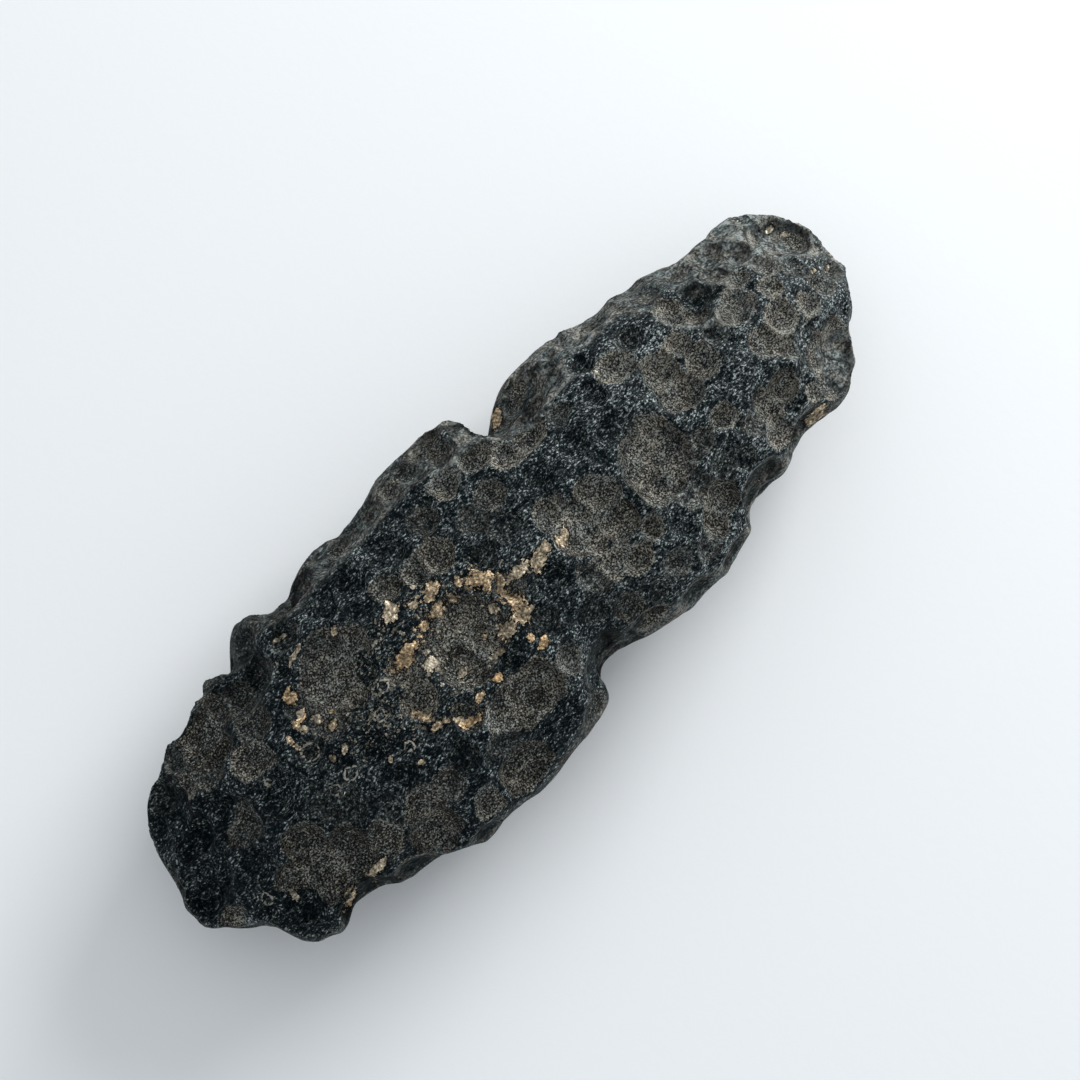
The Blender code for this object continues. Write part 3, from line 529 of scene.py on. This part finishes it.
def remeshed(obj, voxel):
    """Give the object an even mesh of this spacing."""
    modifier = obj.modifiers.new("Even mesh", "REMESH")
    modifier.mode = "VOXEL"
    modifier.voxel_size = voxel
    graph = bpy.context.evaluated_depsgraph_get()
    made = bpy.data.meshes.new_from_object(obj.evaluated_get(graph))
    obj.modifiers.remove(modifier)
    obj.data = made


def points_and_normals(mesh):
    """The mesh's points and their outward directions, as two tables."""
    points = np.empty(len(mesh.vertices) * 3)
    mesh.vertices.foreach_get("co", points)
    normals = np.empty(len(points))
    mesh.vertex_normals.foreach_get("vector", normals)
    return points.reshape(-1, 3), normals.reshape(-1, 3)


def set_points(mesh, points):
    mesh.vertices.foreach_set("co", points.ravel())
    mesh.update()


def waves(points, length):
    """Smooth noise between about -1 and 1 at each point, with lumps of this length."""
    return np.array([noise.noise(Vector(point / length)) for point in points])


def swell(mesh):
    """Move the whole surface slowly in and out."""
    points, normals = points_and_normals(mesh)
    set_points(mesh, points + normals * (SWELL_HEIGHT * waves(points, SWELL_LENGTH))[:, None])


def seen_from_above(points, normals, x, y):
    """The point of the upper surface nearest to this place in plan."""
    away = (points[:, 0] - x) ** 2 + (points[:, 1] - y) ** 2
    away[normals[:, 2] < TOP_FACING] = np.inf
    return points[np.argmin(away)]


def scattered(taken, surface, seed, tries, radii, depth, crowding):
    """Seeded bowls over the body, as (point, radius, depth), clear of those taken."""
    chance = random.Random(seed)
    centres = [spot[0] for spot in taken]
    spans = [spot[1] for spot in taken]
    found = []
    for _ in range(tries):
        point = surface[chance.randrange(len(surface))]
        radius = chance.uniform(*radii)
        if point[2] < WORN_UNDERSIDE:
            continue
        if centres:
            gaps = np.linalg.norm(np.array(centres) - point, axis=1)
            if (gaps < (np.array(spans) + radius) * crowding).any():
                continue
        centres.append(point)
        spans.append(radius)
        found.append((point, radius, radius * depth))
    return found


def search_tree(points):
    tree = KDTree(len(points))
    for i, point in enumerate(points):
        tree.insert(point, i)
    tree.balance()
    return tree


def press_bowl(points, normals, ragged, tree, bowl):
    """Lower the points over one bowl to its floor.

    Gives the points that moved, and how far each is in from the bowl's rim.
    """
    target, radius, depth = bowl[:3]
    place = tree.find(target)[0]
    found = tree.find_range(place, radius * BOWL_SEARCH)
    index = np.array([item[1] for item in found])
    reach = np.array([item[2] for item in found]) / radius
    near = index[reach < 1]
    outward = normals[near].mean(axis=0)
    outward /= np.linalg.norm(outward)
    away = points[index] - points[near].mean(axis=0)
    height = away @ outward
    across = np.linalg.norm(away - np.outer(height, outward), axis=1) + ragged[index]
    floor = depth * (np.clip(across / radius, 0, None) ** BOWL_SHAPE - 1)
    facing = normals[index] @ outward
    sunk = (height > floor) & (facing > BOWL_FACING)
    touched = index[sunk]
    down = (height - floor)[sunk]
    # It fades on what stands far over it, on what faces away, and at the end of its search.
    down *= np.clip(2 - down / (depth * BOWL_REACH), 0, 1)
    down *= np.clip((facing[sunk] - BOWL_FACING) / BOWL_EASE, 0, 1)
    down *= np.clip((BOWL_SEARCH - reach[sunk]) / BOWL_EASE, 0, 1)
    points[touched] -= np.outer(down, outward)
    return touched, radius - across[sunk]


def press_bowls(mesh, bowls, film, rim):
    """Press every bowl in, the largest first, coat its floor and note its rim."""
    for low, high in SIZE_GROUPS:
        points, normals = points_and_normals(mesh)
        ragged = RIM_RAGGED * waves(points, RIM_RAGGED_LENGTH)
        tree = search_tree(points)
        for bowl in bowls:
            if low <= bowl[1] < high:
                touched, inward = press_bowl(points, normals, ragged, tree, bowl)
                if bowl[3] is not None:
                    film[touched] = bowl[3]
                    rim[touched] = inward
        set_points(mesh, points)


def crinkle(mesh, film):
    """Rumple the glass in short sharp folds, more where no bowl is."""
    points, normals = points_and_normals(mesh)
    folds = np.array([noise.ridged_multi_fractal(Vector(point / CRINKLE_LENGTH),
                                                 *CRINKLE_FRACTAL) for point in points])
    folds -= folds.mean()
    height = CRINKLE_HEIGHT * (1 - CRINKLE_CALM * np.clip(film, 0, 1))
    set_points(mesh, points + normals * (folds * height)[:, None])


def carve(mesh, loops):
    """Cut the hollows, the bowls and the pits.

    Gives how filmed each point is, and how far it is in from the rim of its bowl.
    """
    surface = np.concatenate(loops)
    film = np.zeros(len(mesh.vertices))
    rim = np.full(len(film), NO_RIM)
    points, normals = points_and_normals(mesh)
    press_bowls(mesh, [(seen_from_above(points, normals, x, y), radius, depth, HOLLOW_FILM)
                       for x, y, radius, depth in HOLLOWS], film, rim)
    points, normals = points_and_normals(mesh)
    bowls = [(seen_from_above(points, normals, x, y), radius, depth * BOWL_DEPTH, coat)
             for x, y, radius, depth, coat in BOWLS]
    more = scattered(bowls, surface, SCATTER_SEED, SCATTER_TRIES, SCATTER_RADII, SCATTER_DEPTH,
                     SCATTER_CROWDING)
    coats = random.Random(SCATTER_SEED)
    press_bowls(mesh, bowls + [(*bowl, coats.uniform(*SCATTER_FILM)) for bowl in more],
                film, rim)
    points, _ = points_and_normals(mesh)
    pits = scattered([], points, PIT_SEED, PIT_TRIES, PIT_RADII, PIT_DEPTH, PIT_CROWDING)
    press_bowls(mesh, [(*pit, None) for pit in pits], film, rim)
    crinkle(mesh, film)
    return film, rim


def smoothed(mesh, values, rounds):
    """The values, one row per point, averaged with their neighbours this many times."""
    edges = np.empty(len(mesh.edges) * 2, int)
    mesh.edges.foreach_get("vertices", edges)
    a, b = edges.reshape(-1, 2).T
    count = len(values)
    weight = np.bincount(a, minlength=count) + np.bincount(b, minlength=count)
    for _ in range(rounds):
        total = np.stack([
            np.bincount(a, values[b, k], count) + np.bincount(b, values[a, k], count)
            for k in range(values.shape[1])
        ], axis=1)
        values = total / weight[:, None]
    return values


def draw_in(mesh):
    """Draw in the points that a bowl's edge has left far from their neighbours."""
    points, _ = points_and_normals(mesh)
    for _ in range(DRAW_IN_ROUNDS):
        middle = smoothed(mesh, points, 1)
        gap = np.linalg.norm(middle - points, axis=1)
        share = np.clip(gap / DRAW_IN_GAP - 1, 0, 1)
        points = points + (middle - points) * share[:, None]
    set_points(mesh, points)


def relief(mesh, fine, coarse):
    """How far the surface stands proud of (+) or below (-) its smoother self, in mm.

    Both are smoothed, the first by a few rounds, so that single points don't stand out.
    """
    points, normals = points_and_normals(mesh)
    kept = smoothed(mesh, points, fine)
    return ((kept - smoothed(mesh, kept, coarse)) * normals).sum(axis=1)


def satin_cover(points):
    """1 well inside the patches of smooth satin skin on the top, down to 0 at their edges."""
    cover = np.zeros(len(points))
    for x, y, reach in SATIN_PATCHES:
        far = np.hypot(points[:, 0] - x, points[:, 1] - y) / reach
        cover = np.maximum(cover, np.clip(SATIN_EDGE * (1 - far), 0, 1))
    return cover


def sharpen(mesh):
    """Raise the worn top's rims, sink every bowl, and calm the outline and the satin skin."""
    points, normals = points_and_normals(mesh)
    upward = np.clip((normals[:, 2] - SHARPEN_FACING[0])
                     / (SHARPEN_FACING[1] - SHARPEN_FACING[0]), 0, 1)
    satin = satin_cover(points)
    crisp = upward * (1 - satin)
    height = SHARPNESS * relief(mesh, *SHARPEN_ROUNDS)
    height = np.where(height > 0, np.minimum(height * crisp, MOST_RAISED), height * (1 - satin))
    calm = (1 - crisp)[:, None] * (smoothed(mesh, points, CALM_ROUNDS) - points)
    set_points(mesh, points + normals * height[:, None] + calm)


def satin_sheen_cover(mesh):
    """How smooth, satin and painted with sheen each point is, and how steep a side it is on, both
    0 to 1.
    """
    points, normals = points_and_normals(mesh)
    facing = smoothed(mesh, normals, SLOPE_ROUNDS)
    steep = np.clip((STEEP[0] - facing[:, 2]) / (STEEP[0] - STEEP[1]), 0, 1)
    back = np.interp(facing[:, 1], *SATIN_SHEEN_BY_FACING)
    side = np.clip((SIDE[0] - facing[:, 2]) / (SIDE[0] - SIDE[1]), 0, 1)
    cover = np.maximum(steep * back * np.interp(points[:, 0], *SATIN_SHEEN_ALONG), SIDE_COVER * side)
    return np.maximum(cover, satin_cover(points)), side


def clay_cover(mesh):
    """How deep in a clay patch each point is (1 in its middle, 0 at its edge), and its warmth."""
    points, normals = points_and_normals(mesh)
    cover = np.zeros(len(points))
    warmth = np.zeros(len(points))
    for x, y, length, width, turn, warm in CLAY:
        c, s = math.cos(math.radians(turn)), math.sin(math.radians(turn))
        dx, dy = points[:, 0] - x, points[:, 1] - y
        far = np.hypot((dx * c + dy * s) / (length * CLAY_SPREAD),
                       (dy * c - dx * s) / (width * CLAY_SPREAD))
        depth = np.where(normals[:, 2] > 0, np.clip(1 - far, 0, 1), 0)
        warmth = np.where(depth > cover, warm, warmth)
        cover = np.maximum(cover, depth)
    return cover, warmth


def lips(mesh):
    """How far each point is out from the lip of the nearest tiny pit, in mm."""
    points, normals = points_and_normals(mesh)
    outward = np.full(len(points), NO_RIM)
    for x, y, radius in LIPPED_PITS:
        far = np.hypot(points[:, 0] - x, points[:, 1] - y) - radius
        outward = np.where((far < outward) & (normals[:, 2] > 0), far, outward)
    return outward


def store(mesh, name, values):
    layer = mesh.attributes.new(name, "FLOAT", "POINT")
    layer.data.foreach_set("value", np.asarray(values, np.float32))


def flatten_base(mesh):
    """Bring what reaches below the surface that it lies on up to that surface."""
    points, _ = points_and_normals(mesh)
    points[:, 2] = np.maximum(points[:, 2], 0)
    set_points(mesh, points)


def make_stone():
    loops = level_loops()
    stone = bpy.data.objects.new("stone", body_mesh(loops))
    bpy.context.scene.collection.objects.link(stone)
    remeshed(stone, VOXEL)
    mesh = stone.data
    swell(mesh)
    film, rim = carve(mesh, loops)
    draw_in(mesh)
    sharpen(mesh)
    store(mesh, "film", film)
    store(mesh, "rim", rim)
    store(mesh, "relief", relief(mesh, *RELIEF_ROUNDS))
    store(mesh, "broad relief", relief(mesh, *SHARPEN_ROUNDS))
    cover, side = satin_sheen_cover(mesh)
    store(mesh, "satin_sheen_cover", cover)
    store(mesh, "side", side)
    cover, warmth = clay_cover(mesh)
    store(mesh, "clay", cover)
    store(mesh, "warmth", warmth)
    store(mesh, "lip", lips(mesh))
    flatten_base(mesh)
    mesh.transform(Matrix.Translation((-SOLID_CENTRE[0], -SOLID_CENTRE[1], 0)))
    mesh.transform(Matrix.Scale(METRES_PER_MM, 4))
    mesh.shade_smooth()
    return stone


class Graph:
    """Adds shader nodes and wires them, so that a material reads as a list of steps."""

    def __init__(self, name):
        self.material = bpy.data.materials.new(name)
        self.material.use_nodes = True
        self.nodes = self.material.node_tree.nodes
        self.shader = self.nodes["Principled BSDF"]

    def feed(self, socket, value):
        if isinstance(value, bpy.types.NodeSocket):
            self.material.node_tree.links.new(value, socket)
        else:
            socket.default_value = value

    def node(self, kind, inputs, **settings):
        made = self.nodes.new(kind)
        for name, value in settings.items():
            setattr(made, name, value)
        for key, value in inputs.items():
            self.feed(made.inputs[key], value)
        return made

    def attribute(self, name):
        return self.node("ShaderNodeAttribute", {}, attribute_name=name).outputs["Fac"]

    def millimetres(self):
        """The place on the object, in millimetres."""
        place = self.node("ShaderNodeTexCoord", {}).outputs["Object"]
        return self.node("ShaderNodeVectorMath", {0: place, "Scale": 1 / METRES_PER_MM},
                         operation="SCALE").outputs[0]

    def math(self, operation, a, b=0.0, clamp=False):
        return self.node("ShaderNodeMath", {0: a, 1: b}, operation=operation,
                         use_clamp=clamp).outputs[0]

    def add(self, a, b):
        return self.math("ADD", a, b)

    def multiply(self, a, b):
        return self.math("MULTIPLY", a, b)

    def shade(self, tone, clamp=False):
        """The paleness of a tone, which is a power of e."""
        return self.math("POWER", EULER, tone, clamp=clamp)

    def noise(self, at, size, detail, roughness, distortion):
        """Noise whose lumps are about this many millimetres across."""
        return self.node("ShaderNodeTexNoise", {
            "Vector": at, "Scale": 1 / size, "Detail": detail, "Roughness": roughness,
            "Distortion": distortion,
        }).outputs["Fac"]

    def centred(self, value, height):
        """A value round 0.5 brought to round 0, and this many times as strong."""
        return self.multiply(self.math("SUBTRACT", value, 0.5), height)

    def wandering(self, at, lumps, height):
        """One of the listed noises, brought to round 0 and given this height."""
        return self.centred(self.noise(at, *lumps), height)

    def ridges(self, value):
        """1 along the winding lines where the value crosses 0.5, falling off beside them."""
        away = self.math("ABSOLUTE", self.centred(value, RIDGE_STEEPNESS))
        return self.math("SUBTRACT", 1.0, away)

    def times(self, colour, factor):
        return self.node("ShaderNodeVectorMath", {0: colour, "Scale": factor},
                         operation="SCALE").outputs[0]

    def stretched(self, at, factors):
        """The place with each axis multiplied: under 1 draws a pattern out along it."""
        return self.node("ShaderNodeVectorMath", {0: at, 1: factors},
                         operation="MULTIPLY").outputs[0]

    def span(self, value, low, high, start=0.0, end=1.0):
        """The value stretched from low..high to start..end, smoothly, and held there."""
        return self.node("ShaderNodeMapRange", {
            0: value, 1: low, 2: high, 3: start, 4: end,
        }, interpolation_type="SMOOTHSTEP").outputs[0]

    def between(self, share, a, b):
        """a where the share is 0 and b where it is 1, smoothly."""
        return self.span(share, 0.0, 1.0, a, b)

    def mix(self, share, a, b):
        return self.node("ShaderNodeMix", {0: share, 6: a, 7: b},
                         data_type="RGBA").outputs[2]

    def bump(self, height, distance, strength, under=None):
        inputs = {"Height": height, "Distance": distance, "Strength": strength}
        if under is not None:
            inputs["Normal"] = under
        return self.node("ShaderNodeBump", inputs).outputs["Normal"]


def where_filmed(g, at):
    """1 on the bowls' floors, which keep a dull greyish film, with frayed edges."""
    film = g.add(g.attribute("film"), g.wandering(at, FILM_FRAYS, FILM_FRAYED))
    return g.span(film, *FILM_EDGE)


def where_satin_sheen(g, at):
    """1 on the smooth flanks that nothing has rubbed, painted paler there as sheen."""
    cover = g.add(g.attribute("satin_sheen_cover"), g.wandering(at, SATIN_SHEEN_FRAYS, SATIN_SHEEN_FRAYED))
    return g.span(cover, *SATIN_SHEEN_EDGE)


def tone_by_place(g, at):
    """The tone that all glass starts from: darker at the left end, and darker down the sides by
    painted shade.
    """
    along_stone = g.node("ShaderNodeSeparateXYZ", {0: at}).outputs["X"]
    tone = g.add(g.span(along_stone, *TONE_ALONG_STONE), g.wandering(at, CLOUDS, CLOUD_TONES))
    # painted shade down the sides, twice as deep in their bowls
    side_shade = g.span(g.attribute("broad relief"), -SIDE_SHADE_RELIEF, SIDE_SHADE_RELIEF, SIDE_SHADE_TONE * 2, 0.0)
    return g.add(tone, g.multiply(g.attribute("side"), side_shade))


def tone_by_relief(g, at):
    """What the floors' small relief adds to their tone, as painted highlight where proud and
    painted shade where low, and the faint rings inside each rim.
    """
    proud = g.span(g.attribute("relief"), -RELIEF_REACH, RELIEF_REACH, -RELIEF_SHADE_AND_HIGHLIGHT, RELIEF_SHADE_AND_HIGHLIGHT)
    angle = g.add(g.multiply(g.attribute("rim"), RING_CROWDING),
                  g.wandering(at, RING_BENDS, RING_BENT))
    return g.add(proud, g.multiply(g.math("SINE", angle), RING_TONE))


def grained(g, tone, parts):
    """Paleness round this tone, from noises given as (noise, its span of tones)."""
    for part, tones in parts:
        tone = g.add(tone, g.centred(part, tones))
    return g.shade(tone, clamp=True)


def worn_colour(g, at, tone, blotches):
    """Nearly black rubbed glass, under short crooked pale marks, painted as glints, that crowd
    along folds.
    """
    glint_strokes = g.noise(g.stretched(at, GLINT_STROKE_STRETCH), *GLINT_STROKES)
    crowds = g.ridges(g.noise(g.stretched(at, FOLD_STRETCH), *CROWDS))
    # painted shade in the worn glass's dips
    low = g.span(g.attribute("relief"), -RELIEF_REACH, 0.0, WORN_DIP_SHADE, 0.0)
    tone = g.add(g.add(tone, WORN_TONE), g.add(low, g.span(crowds, *CROWD_TONE)))
    paleness = grained(g, tone, [(glint_strokes, GLINT_STROKE_TONES), (blotches, BLOTCH_TONES)])
    gaps = g.span(g.noise(at, *GAPS), *GAP_EDGE)
    colour = g.mix(g.span(blotches, *TINT_EDGE), WORN_DARK, WORN_DEEP)
    return g.mix(g.multiply(gaps, paleness), colour, WORN_PAINTED_GLINT)


def floor_colour(g, at, tone, blotches):
    """The fine grain of a bowl's floor, from grey to brown, with small dark pores."""
    specks = g.noise(at, *FLOOR_SPECKS)
    paleness = grained(g, g.add(tone, FLOOR_TONE),
                       [(specks, FLOOR_TONES), (blotches, BLOTCH_TONES)])
    pores = g.span(g.noise(at, *PORES), *PORE_EDGE)
    tint = g.span(g.noise(at, *TINTS), *TINT_EDGE)
    return g.mix(g.multiply(paleness, pores), FLOOR_DARK,
                 g.mix(tint, FLOOR_GREY, FLOOR_BROWN))


def flank_colour(g, at, tone, blotches, folds):
    """The smooth grey of the flanks, paler in part as painted sheen, streaked along the stone,
    dark along their folds.
    """
    streaks = g.noise(g.stretched(at, STREAK_STRETCH), *STREAKS)
    specks = g.noise(at, *FLANK_SPECKS)
    paleness = grained(g, g.add(tone, FLANK_TONE), [
        (streaks, STREAK_TONES), (specks, FLANK_TONES), (blotches, BLOTCH_TONES),
    ])
    tint = g.span(g.noise(at, *TINTS), *TINT_EDGE)
    colour = g.mix(paleness, WORN_DARK, g.mix(tint, FLANK_PALE, FLANK_BROWN))
    return g.mix(g.multiply(g.span(folds, *FOLD_EDGE), FOLD_SHARE), colour, SHADE_AND_DARK_LINES)


def glass_colour(g, at, filmed, satin_sheen, blotches, folds):
    """Worn glass, filmed floors and satin flanks, with a dark crease of painted shade inside
    every rim.
    """
    tone = tone_by_place(g, at)
    floors = floor_colour(g, at, g.add(tone, tone_by_relief(g, at)), blotches)
    colour = g.mix(filmed, worn_colour(g, at, tone, blotches), floors)
    # painted highlights along the flanks' proud edges
    edges = g.span(g.attribute("relief"), EDGE_RELIEF, RELIEF_REACH, 0.0, EDGE_HIGHLIGHT_TONE)
    flanks = flank_colour(g, at, g.add(tone, edges), blotches, folds)
    colour = g.mix(satin_sheen, colour, flanks)
    crease_shade = g.span(g.attribute("rim"), *CREASE_SHADE_EDGE)
    return g.mix(g.multiply(crease_shade, g.between(satin_sheen, *CREASE_SHADE_SHARES)), colour, SHADE_AND_DARK_LINES)


def crumb_specks(g, at):
    """Noise that is high on the tiny crumbs of clay, which get fewer away from its patches."""
    away = g.node("ShaderNodeVectorMath", {0: at, 1: CRUMBS_MIDDLE},
                  operation="SUBTRACT").outputs[0]
    away = g.node("ShaderNodeVectorMath", {0: g.stretched(away, CRUMBS_WITHIN)},
                  operation="LENGTH").outputs["Value"]
    return g.math("SUBTRACT", g.noise(at, *CRUMBS), g.span(away, *CRUMBS_FEWER))


def where_clay(g, at):
    """1 on the ragged patches of dried clay, on the crumbs, and in the dark skirts of both."""
    fill = g.add(g.multiply(g.attribute("clay"), CLAY_FILL),
                 g.add(g.wandering(at, CLAY_CRUMBLE, CLAY_CRUMBLED),
                       g.wandering(at, CLAY_BAYS, CLAY_BAYED)))
    specks = crumb_specks(g, at)
    skirts = g.math("MAXIMUM", g.span(fill, *CLAY_SKIRT), g.span(specks, *CRUMB_SKIRT))
    return g.span(fill, *CLAY_EDGE), g.span(specks, *CRUMB_EDGE), skirts


def clay_colour(g, at):
    """Pale to warm ochre, mottled by the clay's broken surface."""
    mottle = g.add(g.wandering(at, CLAY_GRAINS, CLAY_GRAIN_TONES),
                   g.add(g.wandering(at, CLAY_SHADES, CLAY_SHADE_TONES), CLAY_TONE))
    return g.times(g.mix(g.attribute("warmth"), CLAY_PALE, CLAY_WARM), g.shade(mottle))


def where_lipped(g, at):
    """1 on the pale broken lips of the tiny pits."""
    away = g.math("ABSOLUTE", g.add(g.attribute("lip"), g.wandering(at, LIP_BENDS, LIP_BENT)))
    return g.multiply(g.span(away, *LIP_EDGE), g.span(g.noise(at, *LIP_GAPS), *LIP_GAP_EDGE))


def glass_roughness(g, filmed, satin_sheen, clay):
    """Worn glass is the least dull, floors and flanks more, clay the most."""
    kept = g.math("MAXIMUM", filmed, satin_sheen)
    dull = g.between(kept, WORN_ROUGHNESS, FLOOR_ROUGHNESS)
    return g.math("MAXIMUM", dull, g.multiply(clay, CLAY_ROUGHNESS), clamp=True)


def glass_bumps(g, at, satin_sheen, blotches, folds, clay):
    """Folds on the flanks, lumps and grains most on the rest, and clay that stands up."""
    share = g.between(satin_sheen, *GRAIN_BUMP_SHARES)
    normal = g.bump(folds, FOLD_BUMP, g.between(satin_sheen, *FOLD_BUMP_SHARES))
    normal = g.bump(blotches, BLOTCH_BUMP, share, normal)
    normal = g.bump(g.noise(at, *SURFACE_GRAINS), GRAIN_BUMP, share, normal)
    return g.bump(clay, CLAY_BUMP, CLAY_BUMP_SHARE, normal)


def etched_glass():
    g = Graph("etched black glass")
    at = g.millimetres()
    filmed = where_filmed(g, at)
    satin_sheen = where_satin_sheen(g, at)
    blotches = g.noise(at, *BLOTCHES)
    folds = g.ridges(g.noise(g.stretched(at, FOLD_STRETCH), *FOLDS))
    clay, crumbs, skirts = where_clay(g, at)

    colour = glass_colour(g, at, filmed, satin_sheen, blotches, folds)
    colour = g.mix(g.multiply(skirts, SKIRT_SHARE), colour, SHADE_AND_DARK_LINES)
    all_clay = g.math("MAXIMUM", clay, g.multiply(crumbs, CRUMB_SHARE))
    colour = g.mix(all_clay, colour, clay_colour(g, at))
    colour = g.mix(g.multiply(where_lipped(g, at), LIP_SHARE), colour, LIP_COLOUR)

    g.feed(g.shader.inputs["Base Color"], colour)
    g.feed(g.shader.inputs["Roughness"], glass_roughness(g, filmed, satin_sheen, clay))
    g.feed(g.shader.inputs["Specular IOR Level"], SHINE)
    g.feed(g.shader.inputs["Normal"], glass_bumps(g, at, satin_sheen, blotches, folds, clay))
    return g.material


def pale_floor():
    g = Graph("pale floor")
    at = g.millimetres()
    normal = g.bump(g.noise(at, *PAPER_GRAINS), PAPER_BUMP, PAPER_BUMP_SHARE)
    g.feed(g.shader.inputs["Base Color"], PAPER_COLOUR)
    g.feed(g.shader.inputs["Roughness"], PAPER_ROUGHNESS)
    g.feed(g.shader.inputs["Normal"], normal)
    return g.material


def make_floor():
    half = PAPER_HALF_SIZE
    mesh = bpy.data.meshes.new("floor")
    mesh.from_pydata([(-half, -half, 0), (half, -half, 0), (half, half, 0), (-half, half, 0)],
                     [], [(0, 1, 2, 3)])
    floor = bpy.data.objects.new("floor", mesh)
    bpy.context.scene.collection.objects.link(floor)
    mesh.materials.append(pale_floor())
    return floor


def placed_point(point):
    """A point of the values' own frame, in metres from the solid's origin."""
    x, y, z = point
    return Vector((x - SOLID_CENTRE[0], y - SOLID_CENTRE[1], z)) * METRES_PER_MM


def make_camera():
    data = bpy.data.cameras.new("camera")
    data.lens = LENS
    data.sensor_width = SENSOR_WIDTH
    data.clip_start, data.clip_end = SEEN_RANGE
    camera = bpy.data.objects.new("camera", data)
    bpy.context.scene.collection.objects.link(camera)
    camera.location = placed_point(VIEW_FROM)
    gaze = placed_point(VIEW_TO) - placed_point(VIEW_FROM)
    camera.rotation_euler = gaze.to_track_quat("-Z", "Y").to_euler()
    bpy.context.scene.camera = camera


def make_light(name, side, ahead, up, size, power, colour):
    """A soft square light, placed by the camera's own right and forward over the floor."""
    gaze = placed_point(VIEW_TO) - placed_point(VIEW_FROM)
    forward = Vector((gaze.x, gaze.y, 0)).normalized()
    right = Vector((forward.y, -forward.x, 0))
    data = bpy.data.lights.new(name, "AREA")
    data.size = size
    data.energy = power
    data.color = colour
    light = bpy.data.objects.new(name, data)
    bpy.context.scene.collection.objects.link(light)
    light.location = right * side + forward * ahead + Vector((0, 0, up))
    light.rotation_euler = (-light.location).to_track_quat("-Z", "Y").to_euler()


def make_world():
    world = bpy.data.worlds.new("room")
    world.use_nodes = True
    sky = world.node_tree.nodes["Background"]
    sky.inputs["Color"].default_value = WORLD_COLOUR
    sky.inputs["Strength"].default_value = WORLD_STRENGTH
    bpy.context.scene.world = world


make_camera()
make_world()
for light in LIGHTS:
    make_light(*light)
floor = make_floor()

stone = make_stone()
stone.data.materials.append(etched_glass())
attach(stone, "root")
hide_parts(NODE)
bpy.context.scene.view_settings.view_transform = "Standard"
